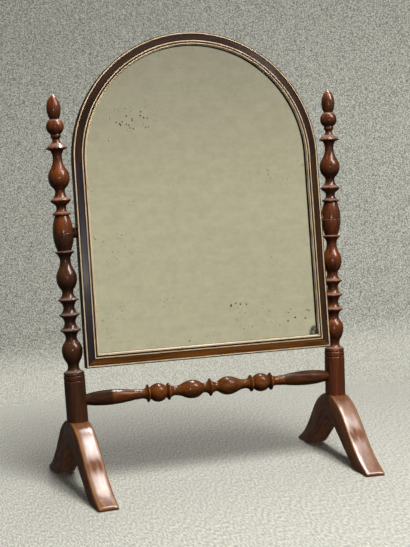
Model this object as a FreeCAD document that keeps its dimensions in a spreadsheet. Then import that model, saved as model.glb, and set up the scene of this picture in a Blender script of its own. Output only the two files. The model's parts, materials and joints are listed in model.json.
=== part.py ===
"""Table swing mirror: an arched frame on two pins, between turned posts on arched feet.

Millimetres, +Z up. The origin is on the floor, midway between the feet, and the mirror faces -Y.
"""
import FreeCAD, Part
import math
import os

import Sketcher
from FreeCAD import Placement, Rotation, Vector

# Driving dimensions: name, value, meaning.
SIZES = [
    ("post_spacing", 433.0, "between the post axes at the seats on the feet"),
    ("post_splay", 1.27, "degrees that each post leans outwards"),
    ("rest_tilt", 3.42, "degrees that the mirror leans back at rest"),
    ("turning_clearance", 0.05, "round tenons, pins and nails in their holes"),
    ("end_clearance", 1.0, "left beyond the end of a tenon, pin or nail"),
    # Feet
    ("leg_height", 102.8, "seat of the post above the floor"),
    ("leg_turn", 3.2, "degrees that each foot's front toe turns inwards"),
    ("leg_thickness", 30.2, "board of the foot"),
    ("leg_reach", 160.5, "middle of the foot to the end of the toe"),
    ("seat_half", 19.1, "half the flat seat under the post"),
    ("seat_trim", 0.6, "wood cut off to square the seat to the post"),
    ("shoulder_radius", 114.0, "round shoulder beside the seat"),
    ("shoulder_reach", 67.6, "middle of the foot to the end of the shoulder"),
    ("limb_angle", 44.2, "slope of the outside of a limb, degrees"),
    ("flare_radius", 186.0, "hollow flare down to the toe"),
    ("toe_thickness", 5.7, "end of the toe"),
    ("arch_height", 64.7, "crown of the arch above the floor"),
    ("crown_radius", 39.3, "round crown of the arch"),
    ("inner_limb_angle", 34.6, "slope of the inside of a limb, degrees"),
    ("sole_radius", 47.3, "round between the inside of a limb and the sole"),
    ("foot_tenon_radius", 9.0, "round tenon of the post in the foot"),
    ("foot_tenon_length", 26.0, "its length"),
    # Lower post, from the seat up
    ("column_radius", 16.4, "plain column"),
    ("column_length", 63.1, "plain column"),
    ("groove_half", 0.9, "half the width of a scored groove"),
    ("groove_radius", 15.1, "bottom of a scored groove"),
    ("bead_length", 6.0, "flat bead between the grooves"),
    ("bead_radius", 16.3, "flat bead"),
    ("collar_length", 4.6, "collar over the bead"),
    ("collar_radius", 16.0, "foot of the collar"),
    ("collar_top_radius", 15.2, "top edge of the collar"),
    ("collar_cove_length", 7.8, "hollow over the collar"),
    ("collar_neck_radius", 8.75, "neck over the collar"),
    ("low_ball_rise", 25.0, "neck to the widest part of the low ball"),
    ("low_ball_radius", 16.1, "low ball"),
    ("low_ball_fall", 19.9, "widest part of the low ball to the neck above"),
    ("low_ball_cove_share", 0.33, "share of each curve of the low ball that is hollow"),
    ("ring_neck_radius", 8.7, "necks between the three rings"),
    ("ring_under_length", 10.8, "hollow under a ring"),
    ("ring_radius", 15.9, "rim of a ring"),
    ("ring_rim_length", 1.5, "rim of a ring"),
    ("ring_over_length", 11.2, "hollow over a ring"),
    ("low_vase_rise", 21.1, "neck to the widest part of the low vase"),
    ("low_vase_radius", 16.0, "low vase"),
    ("low_vase_fall", 28.1, "widest part of the low vase to its upper neck"),
    ("low_vase_neck_radius", 8.2, "upper neck of the low vase"),
    ("vase_foot_share", 0.25, "share of a vase's lower curve that is hollow"),
    ("low_vase_share", 0.5, "share of the low vase's upper curve that is round"),
    ("barrel_ring_radius", 14.4, "rim of the ring under the barrel"),
    ("barrel_ring_under", 11.6, "hollow under that ring"),
    ("barrel_ring_rim", 1.6, "rim of that ring"),
    ("barrel_step", 1.2, "step from that ring in to the barrel"),
    ("barrel_end_radius", 10.4, "lower end of the barrel"),
    ("barrel_low_length", 26.2, "lower half of the barrel"),
    ("barrel_radius", 15.9, "barrel at the pivot"),
    ("joint_groove", 0.5, "chamfer at each side of the barrel's joint line"),
    # Upper post, from the joint line up
    ("joint_tenon_radius", 5.0, "tenon of the upper post"),
    ("joint_tenon_length", 20.0, "its length"),
    ("barrel_high_length", 27.2, "upper half of the barrel"),
    ("barrel_top_radius", 10.7, "upper end of the barrel"),
    ("cap_step", 1.0, "step from the barrel out to the ring over it"),
    ("cap_ring_radius", 13.9, "rim of the ring over the barrel"),
    ("cap_ring_rim", 2.4, "rim of that ring"),
    ("cap_ring_over", 8.2, "hollow over that ring"),
    ("high_neck_radius", 7.5, "necks beside the high ring"),
    ("high_ring_under", 6.8, "hollow under the high ring"),
    ("high_lip_radius", 12.2, "start of the high ring's lip"),
    ("high_lip_length", 4.0, "lip under the high ring"),
    ("high_ring_radius", 16.0, "rim of the high ring"),
    ("high_ring_rim", 1.2, "rim of the high ring"),
    ("high_slope_length", 3.3, "slope on the high ring"),
    ("high_slope_radius", 11.5, "top of that slope"),
    ("high_ring_over", 9.9, "hollow over the high ring"),
    ("high_vase_rise", 20.7, "neck to the widest part of the high vase"),
    ("high_vase_radius", 16.5, "high vase"),
    ("high_vase_fall", 31.5, "widest part of the high vase to its upper neck"),
    ("high_vase_share", 0.4, "share of the high vase's upper curve that is round"),
    ("high_vase_neck_radius", 7.1, "upper neck of the high vase"),
    ("disc_under", 10.8, "hollow under the disc"),
    ("disc_under_radius", 10.4, "top of that hollow"),
    ("disc_bevel", 2.2, "underside of the disc"),
    ("disc_radius", 16.5, "rim of the disc"),
    ("disc_rim", 1.0, "rim of the disc"),
    ("saucer_length", 4.8, "slope on the disc"),
    ("saucer_radius", 11.5, "top of that slope"),
    ("disc_over", 9.2, "hollow over the disc"),
    ("disc_neck_radius", 5.5, "neck over the disc"),
    ("fillet_step", 3.0, "neck to the small fillet under the ball"),
    ("fillet_radius", 8.0, "small fillet under the ball"),
    ("fillet_length", 2.6, "small fillet"),
    ("fillet_fall", 1.7, "fillet to the foot of the ball"),
    ("ball_foot_radius", 7.3, "foot of the ball"),
    ("ball_rise", 11.3, "foot of the ball to its widest part"),
    ("ball_radius", 13.6, "ball"),
    ("ball_fall", 11.7, "widest part of the ball to its top"),
    ("finial_foot_radius", 7.1, "foot of the finial"),
    ("finial_rise", 16.1, "foot of the finial to its widest part"),
    ("finial_radius", 10.85, "finial"),
    ("finial_fall", 21.0, "widest part of the finial to its tip"),
    ("finial_tip_radius", 1.6, "blunt tip"),
    ("finial_tip_length", 0.8, "rounding of the tip"),
    # Stretcher, from its middle outwards
    ("stretcher_rise", 32.2, "seat of the post up to the stretcher's axis"),
    ("stretcher_socket", 9.0, "depth of the stretcher in the post"),
    ("mid_ring_radius", 14.0, "middle ring"),
    ("mid_ring_half_rim", 0.8, "half the rim of the middle ring"),
    ("mid_ring_cove", 9.2, "hollow beside the middle ring"),
    ("rail_neck_radius", 7.5, "necks of the stretcher"),
    ("rail_vase_rise", 19.0, "inner neck to the widest part of a rail vase"),
    ("rail_vase_radius", 14.7, "rail vase"),
    ("rail_vase_fall", 30.0, "widest part of a rail vase to its outer neck"),
    ("rail_vase_share", 0.55, "share of the rail vase's outer curve that is round"),
    ("rail_ring_cove", 9.2, "hollow beside the inner ring"),
    ("rail_ring_radius", 13.5, "inner ring"),
    ("rail_ring_rim", 1.6, "rim of the inner ring"),
    ("rail_ring_fall", 3.0, "inner ring to the foot of the rail ball"),
    ("rail_ball_foot_radius", 8.5, "foot of the rail ball"),
    ("rail_ball_half", 13.2, "half the length of the rail ball"),
    ("rail_ball_radius", 14.7, "rail ball"),
    ("tip_ring_rise", 3.0, "foot of the rail ball to the outer ring"),
    ("tip_ring_radius", 14.0, "outer ring"),
    ("tip_ring_rim", 1.2, "rim of the outer ring"),
    ("tip_ring_cove", 7.5, "hollow beside the outer ring"),
    ("tip_neck_length", 6.0, "plain neck before the club"),
    ("club_step", 0.9, "step at the start of the club"),
    ("club_small_radius", 7.9, "start of the club"),
    ("club_rise", 49.0, "start of the club to its widest part"),
    ("club_radius", 11.9, "club"),
    ("club_end_radius", 8.6, "end of the club and its tenon in the post"),
    # Mirror frame
    ("pivot_gap", 4.55, "between the barrel and the side of the frame"),
    ("stile_rise", 106.3, "pivot up to the springing of the arch"),
    ("frame_drop", 208.7, "pivot down to the bottom of the frame"),
    ("front_reach", 11.3, "pivot axis forward to the front rim"),
    ("back_reach", 6.5, "pivot axis back to the back of the frame"),
    ("frame_face", 21.4, "outer edge to sight edge"),
    ("rebate_wall", 14.0, "outer edge to the side of the rebate"),
    ("lip_thickness", 2.1, "front rim back to the glass"),
    ("rim_width", 1.4, "plain rim outside the outer stringing"),
    ("band_depth", 1.0, "recess for stringing and veneer"),
    ("band_rise", 1.3, "slope of the dark band up to the inner stringing"),
    ("stringing_proud", 0.25, "stringing above its bed's edges"),
    ("outer_line_width", 1.8, "outer stringing"),
    ("veneer_width", 10.8, "dark band"),
    ("inner_line_width", 1.6, "inner stringing"),
    ("bead_width", 2.6, "plain bead between the inner and sight stringing"),
    ("sight_line_width", 1.2, "sight stringing"),
    ("bevel_depth", 2.0, "bevel down to the sight edge"),
    ("dowel_radius", 4.0, "dowel between stile and arch"),
    ("dowel_length", 40.0, "dowel"),
    ("key_leg", 20.0, "corner key along each side"),
    ("key_thickness", 2.0, "corner key"),
    # Glass and back
    ("glass_thickness", 3.8, "mirror plate"),
    ("silver_thickness", 0.3, "silvered layer with its backing paint"),
    ("silver_margin", 1.0, "edge of the plate left unsilvered"),
    ("glass_clearance", 0.6, "plate to the side of the rebate"),
    ("board_thickness", 5.2, "backboard"),
    ("board_clearance", 0.4, "backboard to the side of the rebate"),
    ("plank_width", 124.0, "middle plank"),
    ("plank_gap", 0.6, "shrinkage gap between planks"),
    ("block_length", 30.0, "glazing block"),
    ("block_width", 6.0, "glazing block"),
    ("block_inset", 1.0, "glazing block to the side of the rebate"),
    ("side_block_pitch", 120.0, "between the glazing blocks on a stile"),
    ("foot_block_pitch", 110.0, "between the glazing blocks on the bottom rail"),
    ("arch_block_step", 40.0, "degrees between the glazing blocks on the arch"),
    ("nail_radius", 0.8, "shank of a brad"),
    ("nail_bite", 2.0, "brad into its glazing block"),
    ("nail_head_radius", 1.7, "head of a brad"),
    ("nail_head_height", 0.6, "head of a brad"),
    # Pivots
    ("plate_length", 46.0, "brass plate in the side of the stile"),
    ("plate_width", 11.0, "brass plate"),
    ("plate_thickness", 1.6, "brass plate"),
    ("plate_screw_pitch", 32.0, "between the screws of a plate"),
    ("screw_radius", 1.4, "shank of a plate screw"),
    ("screw_head_radius", 2.8, "countersunk head"),
    ("screw_head_height", 1.2, "countersunk head"),
    ("screw_length", 10.0, "plate screw"),
    ("pin_radius", 3.0, "pivot pin"),
    ("pin_embed", 12.0, "pin into the stile"),
    ("pin_web", 2.0, "wood left between the pin and the upper post's tenon"),
    ("washer_radius", 8.0, "leather washer"),
    ("washer_thickness", 4.1, "leather washer"),
]

# Sizes that follow from the driving ones, so that mating pieces share them.
LOWER_RUN = [
    "column_length", "groove_half", "groove_half", "bead_length", "groove_half", "groove_half",
    "collar_length", "collar_cove_length", "low_ball_rise", "low_ball_fall",
    "ring_under_length", "ring_rim_length", "ring_over_length",
    "ring_under_length", "ring_rim_length", "ring_over_length",
    "ring_under_length", "ring_rim_length", "ring_over_length",
    "low_vase_rise", "low_vase_fall", "barrel_ring_under", "barrel_ring_rim", "barrel_step",
    "barrel_low_length", "joint_groove",
]
STRETCHER_RUN = [
    "mid_ring_half_rim", "mid_ring_cove", "rail_vase_rise", "rail_vase_fall", "rail_ring_cove",
    "rail_ring_rim", "rail_ring_fall", "rail_ball_half", "rail_ball_half", "tip_ring_rise",
    "tip_ring_rim", "tip_ring_cove", "tip_neck_length", "club_step", "club_rise",
]


def total(names):
    """Expression for the sum of the named sizes."""
    return " + ".join("Sizes." + name for name in names)


FITS = [
    ("barrel_joint", total(LOWER_RUN), "seat up to the joint line, along the post"),
    ("pivot_height", "Sizes.leg_height + barrel_joint * cos(Sizes.post_splay)", "pivot above the floor"),
    ("pivot_reach", "Sizes.post_spacing / 2 + barrel_joint * sin(Sizes.post_splay)",
     "middle to the barrel's axis"),
    ("frame_half", "pivot_reach - Sizes.barrel_radius - Sizes.pivot_gap", "half the width of the frame"),
    ("stretcher_height", "Sizes.leg_height + Sizes.stretcher_rise", "stretcher's axis above the floor"),
    ("stretcher_axis", "Sizes.post_spacing / 2 + Sizes.stretcher_rise * tan(Sizes.post_splay)",
     "middle to the post's axis at the stretcher"),
    ("rail_shoulder", "stretcher_axis - Sizes.column_radius", "middle to the face of the post"),
    ("stretcher_half", "rail_shoulder + Sizes.stretcher_socket", "half the stretcher"),
    ("club_fall", "rail_shoulder - (" + total(STRETCHER_RUN) + ")", "club's widest part to the post"),
    ("front", "-Sizes.front_reach", "front rim of the frame, in depth"),
    ("crown", "front - Sizes.band_rise", "face of the frame beside the inner stringing, in depth"),
    ("glass_front", "front + Sizes.lip_thickness", "front of the plate"),
    ("glass_back", "glass_front + Sizes.glass_thickness", "back of the plate"),
    ("silver_back", "glass_back + Sizes.silver_thickness", "back of the silvering"),
    ("frame_back", "Sizes.back_reach", "back of the frame and of the backboard"),
    ("board_front", "frame_back - Sizes.board_thickness", "front of the backboard"),
    ("veneer_start", "Sizes.rim_width + Sizes.outer_line_width", "outer edge to the dark band"),
    ("veneer_end", "veneer_start + Sizes.veneer_width", "outer edge to the inner stringing"),
    ("bead_start", "veneer_end + Sizes.inner_line_width", "outer edge to the plain bead"),
    ("sight_line_start", "bead_start + Sizes.bead_width", "outer edge to the sight stringing"),
    ("sight_line_end", "sight_line_start + Sizes.sight_line_width", "outer edge to the sight bevel"),
    ("glass_inset", "Sizes.rebate_wall + Sizes.glass_clearance", "outer edge to the plate"),
    ("silver_inset", "glass_inset + Sizes.silver_margin", "outer edge to the silvering"),
    ("board_inset", "Sizes.rebate_wall + Sizes.board_clearance", "outer edge to the backboard"),
    ("block_line", "Sizes.rebate_wall + Sizes.block_inset + Sizes.block_width / 2",
     "outer edge to the middle of a glazing block"),
    ("wall_middle", "Sizes.rebate_wall / 2", "outer edge to the middle of the rebate's wall"),
    ("wall_depth", "(glass_front + frame_back) / 2", "middle of the rebate's wall, in depth"),
    ("pin_tip", "pivot_reach - Sizes.joint_tenon_radius - Sizes.turning_clearance - Sizes.pin_web",
     "middle to the end of the pin"),
]

doc = FreeCAD.newDocument("table_mirror")
nodes = {}


def fill_sheet(name, rows, lead=""):
    """Spreadsheet of named cells: label, value and meaning in each row."""
    sheet = doc.addObject("Spreadsheet::Sheet", name)
    for row, (alias, value, meaning) in enumerate(rows, 1):
        sheet.set(f"A{row}", alias)
        sheet.set(f"B{row}", lead + str(value))
        sheet.setAlias(f"B{row}", alias)
        sheet.set(f"C{row}", meaning)
    doc.recompute()
    return sheet


sizes = fill_sheet("Sizes", SIZES)
fits = fill_sheet("Fits", FITS, "=")


def number(expression):
    """Present value of an expression of sheet cells."""
    return float(sizes.evalExpression(expression))


def node(name, shape_object):
    """Names a finished sub-part."""
    shape_object.Label = name
    nodes[name] = shape_object
    return shape_object


# Sketches and features

def sketch_on(body, name, role, offset=None):
    """Sketch on one of the body's origin planes, moved off it by an expression if one is given."""
    sketch = body.newObject("Sketcher::SketchObject", name)
    plane = [feature for feature in body.Origin.OriginFeatures if feature.Role == role][0]
    sketch.AttachmentSupport = [(plane, "")]
    sketch.MapMode = "FlatFace"
    if offset is not None:
        sketch.setExpression("AttachmentOffset.Base.z", offset)
    return sketch


def bind(sketch, constraint, expression):
    """Adds a dimension to the sketch and binds it to an expression."""
    index = sketch.addConstraint(constraint)
    sketch.setExpression(f"Constraints[{index}]", expression)


def place_point(sketch, geometry, end, across, up):
    """Dimensions one end of a segment from the sketch's origin, on the side where it now lies."""
    for kind, axis, expression in (("DistanceX", -2, across), ("DistanceY", -1, up)):
        value = number(expression)
        if abs(value) < 1e-9:
            sketch.addConstraint(Sketcher.Constraint("PointOnObject", geometry, end, axis))
        elif value > 0:
            bind(sketch, Sketcher.Constraint(kind, -1, 1, geometry, end, value), expression)
        else:
            bind(sketch, Sketcher.Constraint(kind, geometry, end, -1, 1, -value), f"-({expression})")


def polygon(sketch, corners):
    """Closed straight-sided outline through corners given as pairs of expressions."""
    points = [Vector(number(across), number(up), 0) for across, up in corners]
    first = sketch.GeometryCount
    for index, point in enumerate(points):
        following = points[(index + 1) % len(points)]
        sketch.addGeometry(Part.LineSegment(point, following), False)
    for index, (across, up) in enumerate(corners):
        previous = first + (index - 1) % len(points)
        sketch.addConstraint(Sketcher.Constraint("Coincident", previous, 2, first + index, 1))
        place_point(sketch, first + index, 1, across, up)


def circle(sketch, across, up, radius):
    """Circle with its centre and radius bound."""
    centre = Vector(number(across), number(up), 0)
    index = sketch.addGeometry(Part.Circle(centre, Vector(0, 0, 1), number(radius)), False)
    place_point(sketch, index, 3, across, up)
    bind(sketch, Sketcher.Constraint("Radius", index, number(radius)), radius)


def short_arc(centre, start, end):
    """Shorter arc about a centre between two points, run anticlockwise."""
    first = math.atan2(start.y - centre.y, start.x - centre.x)
    last = math.atan2(end.y - centre.y, end.x - centre.x)
    if (last - first) % (2 * math.pi) > math.pi:
        first, last = last, first
    whole = Part.Circle(centre, Vector(0, 0, 1), start.distanceToPoint(centre))
    return Part.ArcOfCircle(whole, first, last)


def ends_of(sketch, index, start):
    """Which ends of a segment are its start and finish on an outline that reaches it at the given point."""
    forward = sketch.Geometry[index].StartPoint.distanceToPoint(start) < 1e-6
    return (1, 2) if forward else (2, 1)


def arched(sketch, half, foot, spring):
    """Outline with a flat foot, straight sides and a half-round top."""
    half_now, foot_now, spring_now = number(half), number(foot), number(spring)
    left_foot, right_foot = Vector(-half_now, foot_now, 0), Vector(half_now, foot_now, 0)
    left_spring, right_spring = Vector(-half_now, spring_now, 0), Vector(half_now, spring_now, 0)
    sketch.addGeometry(Part.LineSegment(left_foot, right_foot), False)
    sketch.addGeometry(Part.LineSegment(right_foot, right_spring), False)
    whole = Part.Circle(Vector(0, spring_now, 0), Vector(0, 0, 1), half_now)
    sketch.addGeometry(Part.ArcOfCircle(whole, 0, math.pi), False)
    sketch.addGeometry(Part.LineSegment(left_spring, left_foot), False)
    for geometry, following in ((0, 1), (1, 2), (2, 3), (3, 0)):
        sketch.addConstraint(Sketcher.Constraint("Coincident", geometry, 2, following, 1))
    place_point(sketch, 0, 1, f"-({half})", foot)
    place_point(sketch, 1, 1, half, foot)
    place_point(sketch, 2, 1, half, spring)
    place_point(sketch, 3, 1, f"-({half})", spring)
    sketch.addConstraint(Sketcher.Constraint("Horizontal", 2, 3, 2, 1))


def pad(body, sketch, length, midplane=False, backwards=False):
    """Pad of a sketch, which has to add material."""
    doc.recompute()
    feature = body.newObject("PartDesign::Pad", sketch.Name + "Pad")
    feature.Profile = sketch
    feature.setExpression("Length", length)
    feature.Midplane = midplane
    feature.Reversed = backwards
    doc.recompute()
    return feature


def pocket(body, sketch, depth, backwards=False, through=False):
    """Pocket of a sketch, turned round if it misses the solid."""
    doc.recompute()
    before = body.Shape.Volume
    feature = body.newObject("PartDesign::Pocket", sketch.Name + "Pocket")
    feature.Profile = sketch
    feature.Reversed = backwards
    if through:
        feature.Type = "ThroughAll"
        feature.Midplane = True
    else:
        feature.setExpression("Length", depth)
    doc.recompute()
    if not body.Shape.Volume < before:
        raise RuntimeError(f"{feature.Name} cuts nothing")
    return feature


def cut(base, tools, name):
    """Base less its tools, each a document object in the part's frame."""
    result = base
    for tool in tools:
        smaller = doc.addObject("Part::Cut", name + "_cut")
        smaller.Base = result
        smaller.Tool = tool
        doc.recompute()
        if not smaller.Shape.Volume < result.Shape.Volume:
            raise RuntimeError(f"{tool.Label} cuts nothing from {name}")
        result = smaller
    return result


def rod(name, radius, length, placement):
    """Round tool along the placement's own Z axis."""
    tool = doc.addObject("Part::Cylinder", name)
    tool.setExpression("Radius", radius)
    tool.setExpression("Height", length)
    tool.Placement = placement
    return tool


# Turned work

LINE, TO_CREST, FROM_CREST = "line", "to crest", "from crest"


def ogee(start, end, length, share):
    """Two arcs that meet on the chord, after the given share of it, each upright at its outer end."""
    middle = f"({start}) + ({share}) * (({end}) - ({start}))"
    return [
        (FROM_CREST, middle, f"({share}) * ({length})"),
        (TO_CREST, end, f"(1 - ({share})) * ({length})"),
    ]


def crest_arc(start, end, upright_at_end):
    """Arc between two points of a turned outline that runs along the axis at its crest."""
    crest, other = (end, start) if upright_at_end else (start, end)
    swing = crest.x - other.x
    run = other.y - crest.y
    centre = Vector(crest.x - (run ** 2 + swing ** 2) / (2 * swing), crest.y, 0)
    return short_arc(centre, start, end)


def turned(sketch, foot, steps):
    """Closed half-outline on the sketch's vertical axis.

    It starts on the axis at the foot, and each step gives the kind of segment, the radius that it ends at
    and its length along the axis.
    """
    here = Vector(0, number(foot), 0)
    previous = None
    for kind, radius, length in steps:
        there = Vector(number(radius), here.y + number(length), 0)
        if kind == LINE:
            index = sketch.addGeometry(Part.LineSegment(here, there), False)
        else:
            index = sketch.addGeometry(crest_arc(here, there, kind == TO_CREST), False)
        start, end = ends_of(sketch, index, here)
        if previous is None:
            place_point(sketch, index, start, "0", foot)
            first = (index, start)
        else:
            sketch.addConstraint(Sketcher.Constraint("Coincident", *previous, index, start))
        if abs(there.x) < 1e-9:
            sketch.addConstraint(Sketcher.Constraint("PointOnObject", index, end, -2))
        else:
            bind(sketch, Sketcher.Constraint("DistanceX", -1, 1, index, end, there.x), radius)
        if abs(there.y - here.y) < 1e-9:
            sketch.addConstraint(Sketcher.Constraint("Horizontal", index))
        else:
            constraint = Sketcher.Constraint("DistanceY", index, start, index, end, there.y - here.y)
            bind(sketch, constraint, length)
        if kind != LINE:
            crest = end if kind == TO_CREST else start
            sketch.addConstraint(Sketcher.Constraint("Horizontal", index, 3, index, crest))
        previous = (index, end)
        here = there
    closing = sketch.addGeometry(Part.LineSegment(here, Vector(0, number(foot), 0)), False)
    sketch.addConstraint(Sketcher.Constraint("Coincident", *previous, closing, 1))
    sketch.addConstraint(Sketcher.Constraint("Coincident", closing, 2, *first))


def turning(name, foot, steps):
    """Body turned about its own Z axis."""
    body = doc.addObject("PartDesign::Body", name + "_turning")
    sketch = sketch_on(body, name + "_outline", "XZ_Plane")
    turned(sketch, foot, steps)
    doc.recompute()
    feature = body.newObject("PartDesign::Revolution", name + "_revolution")
    feature.Profile = sketch
    feature.ReferenceAxis = (sketch, ["V_Axis"])
    feature.Angle = 360
    doc.recompute()
    return body


def ring_steps():
    """One thin ring of the post, hollowed below and above its rim."""
    return [
        (FROM_CREST, "Sizes.ring_radius", "Sizes.ring_under_length"),
        (LINE, "Sizes.ring_radius", "Sizes.ring_rim_length"),
        (TO_CREST, "Sizes.ring_neck_radius", "Sizes.ring_over_length"),
    ]


def lower_post_steps():
    """Outline of the lower post, from the foot of its tenon to the barrel's joint line."""
    groove_in = (LINE, "Sizes.groove_radius", "Sizes.groove_half")
    return [
        (LINE, "Sizes.foot_tenon_radius", "0"),
        (LINE, "Sizes.foot_tenon_radius", "Sizes.foot_tenon_length"),
        (LINE, "Sizes.column_radius", "0"),
        (LINE, "Sizes.column_radius", "Sizes.column_length"),
        groove_in,
        (LINE, "Sizes.bead_radius", "Sizes.groove_half"),
        (LINE, "Sizes.bead_radius", "Sizes.bead_length"),
        groove_in,
        (LINE, "Sizes.collar_radius", "Sizes.groove_half"),
        (FROM_CREST, "Sizes.collar_top_radius", "Sizes.collar_length"),
        (TO_CREST, "Sizes.collar_neck_radius", "Sizes.collar_cove_length"),
        *ogee("Sizes.collar_neck_radius", "Sizes.low_ball_radius", "Sizes.low_ball_rise",
              "Sizes.low_ball_cove_share"),
        *ogee("Sizes.low_ball_radius", "Sizes.ring_neck_radius", "Sizes.low_ball_fall",
              "1 - Sizes.low_ball_cove_share"),
        *ring_steps(), *ring_steps(), *ring_steps(),
        *ogee("Sizes.ring_neck_radius", "Sizes.low_vase_radius", "Sizes.low_vase_rise",
              "Sizes.vase_foot_share"),
        *ogee("Sizes.low_vase_radius", "Sizes.low_vase_neck_radius", "Sizes.low_vase_fall",
              "Sizes.low_vase_share"),
        (FROM_CREST, "Sizes.barrel_ring_radius", "Sizes.barrel_ring_under"),
        (LINE, "Sizes.barrel_ring_radius", "Sizes.barrel_ring_rim"),
        (LINE, "Sizes.barrel_end_radius", "Sizes.barrel_step"),
        (TO_CREST, "Sizes.barrel_radius", "Sizes.barrel_low_length"),
        (LINE, "Sizes.barrel_radius - Sizes.joint_groove", "Sizes.joint_groove"),
        (LINE, "0", "0"),
    ]


def upper_post_steps():
    """Outline of the upper post, from the foot of its tenon to the tip of the finial."""
    return [
        (LINE, "Sizes.joint_tenon_radius", "0"),
        (LINE, "Sizes.joint_tenon_radius", "Sizes.joint_tenon_length"),
        (LINE, "Sizes.barrel_radius - Sizes.joint_groove", "0"),
        (LINE, "Sizes.barrel_radius", "Sizes.joint_groove"),
        (FROM_CREST, "Sizes.barrel_top_radius", "Sizes.barrel_high_length"),
        (LINE, "Sizes.cap_ring_radius", "Sizes.cap_step"),
        (LINE, "Sizes.cap_ring_radius", "Sizes.cap_ring_rim"),
        (TO_CREST, "Sizes.high_neck_radius", "Sizes.cap_ring_over"),
        (FROM_CREST, "Sizes.high_lip_radius", "Sizes.high_ring_under"),
        (LINE, "Sizes.high_ring_radius", "Sizes.high_lip_length"),
        (LINE, "Sizes.high_ring_radius", "Sizes.high_ring_rim"),
        (LINE, "Sizes.high_slope_radius", "Sizes.high_slope_length"),
        (TO_CREST, "Sizes.high_neck_radius", "Sizes.high_ring_over"),
        *ogee("Sizes.high_neck_radius", "Sizes.high_vase_radius", "Sizes.high_vase_rise",
              "Sizes.vase_foot_share"),
        *ogee("Sizes.high_vase_radius", "Sizes.high_vase_neck_radius", "Sizes.high_vase_fall",
              "Sizes.high_vase_share"),
        (FROM_CREST, "Sizes.disc_under_radius", "Sizes.disc_under"),
        (LINE, "Sizes.disc_radius", "Sizes.disc_bevel"),
        (LINE, "Sizes.disc_radius", "Sizes.disc_rim"),
        (LINE, "Sizes.saucer_radius", "Sizes.saucer_length"),
        (TO_CREST, "Sizes.disc_neck_radius", "Sizes.disc_over"),
        (LINE, "Sizes.fillet_radius", "Sizes.fillet_step"),
        (LINE, "Sizes.fillet_radius", "Sizes.fillet_length"),
        (LINE, "Sizes.ball_foot_radius", "Sizes.fillet_fall"),
        (TO_CREST, "Sizes.ball_radius", "Sizes.ball_rise"),
        (FROM_CREST, "Sizes.finial_foot_radius", "Sizes.ball_fall"),
        (TO_CREST, "Sizes.finial_radius", "Sizes.finial_rise"),
        (FROM_CREST, "Sizes.finial_tip_radius", "Sizes.finial_fall"),
        (LINE, "0", "Sizes.finial_tip_length"),
    ]


def half_stretcher_steps():
    """Outline of the stretcher from the middle of its centre ring to the end in the right post."""
    return [
        (LINE, "Sizes.mid_ring_radius", "Sizes.mid_ring_half_rim"),
        (TO_CREST, "Sizes.rail_neck_radius", "Sizes.mid_ring_cove"),
        *ogee("Sizes.rail_neck_radius", "Sizes.rail_vase_radius", "Sizes.rail_vase_rise",
              "Sizes.vase_foot_share"),
        *ogee("Sizes.rail_vase_radius", "Sizes.rail_neck_radius", "Sizes.rail_vase_fall",
              "Sizes.rail_vase_share"),
        (FROM_CREST, "Sizes.rail_ring_radius", "Sizes.rail_ring_cove"),
        (LINE, "Sizes.rail_ring_radius", "Sizes.rail_ring_rim"),
        (LINE, "Sizes.rail_ball_foot_radius", "Sizes.rail_ring_fall"),
        (TO_CREST, "Sizes.rail_ball_radius", "Sizes.rail_ball_half"),
        (FROM_CREST, "Sizes.rail_ball_foot_radius", "Sizes.rail_ball_half"),
        (LINE, "Sizes.tip_ring_radius", "Sizes.tip_ring_rise"),
        (LINE, "Sizes.tip_ring_radius", "Sizes.tip_ring_rim"),
        (TO_CREST, "Sizes.rail_neck_radius", "Sizes.tip_ring_cove"),
        (LINE, "Sizes.rail_neck_radius", "Sizes.tip_neck_length"),
        (LINE, "Sizes.club_small_radius", "Sizes.club_step"),
        *ogee("Sizes.club_small_radius", "Sizes.club_radius", "Sizes.club_rise", "Sizes.vase_foot_share"),
        (FROM_CREST, "Sizes.club_end_radius", "Fits.club_fall"),
        (LINE, "Sizes.club_end_radius", "Sizes.stretcher_socket"),
    ]


def both_ways(steps, middle_radius):
    """Steps of a piece that is the same either way from its middle, from one end to the other."""
    starts = [middle_radius] + [radius for kind, radius, length in steps[:-1]]
    turned_round = {LINE: LINE, TO_CREST: FROM_CREST, FROM_CREST: TO_CREST}
    first_half = [
        (turned_round[kind], start, length)
        for (kind, radius, length), start in zip(reversed(steps), reversed(starts))
    ]
    return first_half + steps


# Stand

SIDES = (("left", -1), ("right", 1))


def post_placement(side):
    """Seat of a post, with Z along the leaning post."""
    seat = Vector(side * number("Sizes.post_spacing / 2"), 0, number("Sizes.leg_height"))
    return Placement(seat, Rotation(Vector(0, side, 0), number("Sizes.post_splay")))


def stand_on_seat(piece, side, rise=None):
    """Places a turned piece on its post's axis, bound to the sheet."""
    piece.Placement = post_placement(side)
    along = "0" if rise is None else rise
    lean = "Sizes.post_splay"
    reach = f"{side} * (Sizes.post_spacing / 2 + ({along}) * sin({lean}))"
    piece.setExpression("Placement.Base.x", reach)
    piece.setExpression("Placement.Base.z", f"Sizes.leg_height + ({along}) * cos({lean})")
    piece.setExpression("Placement.Rotation.Angle", lean)


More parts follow.
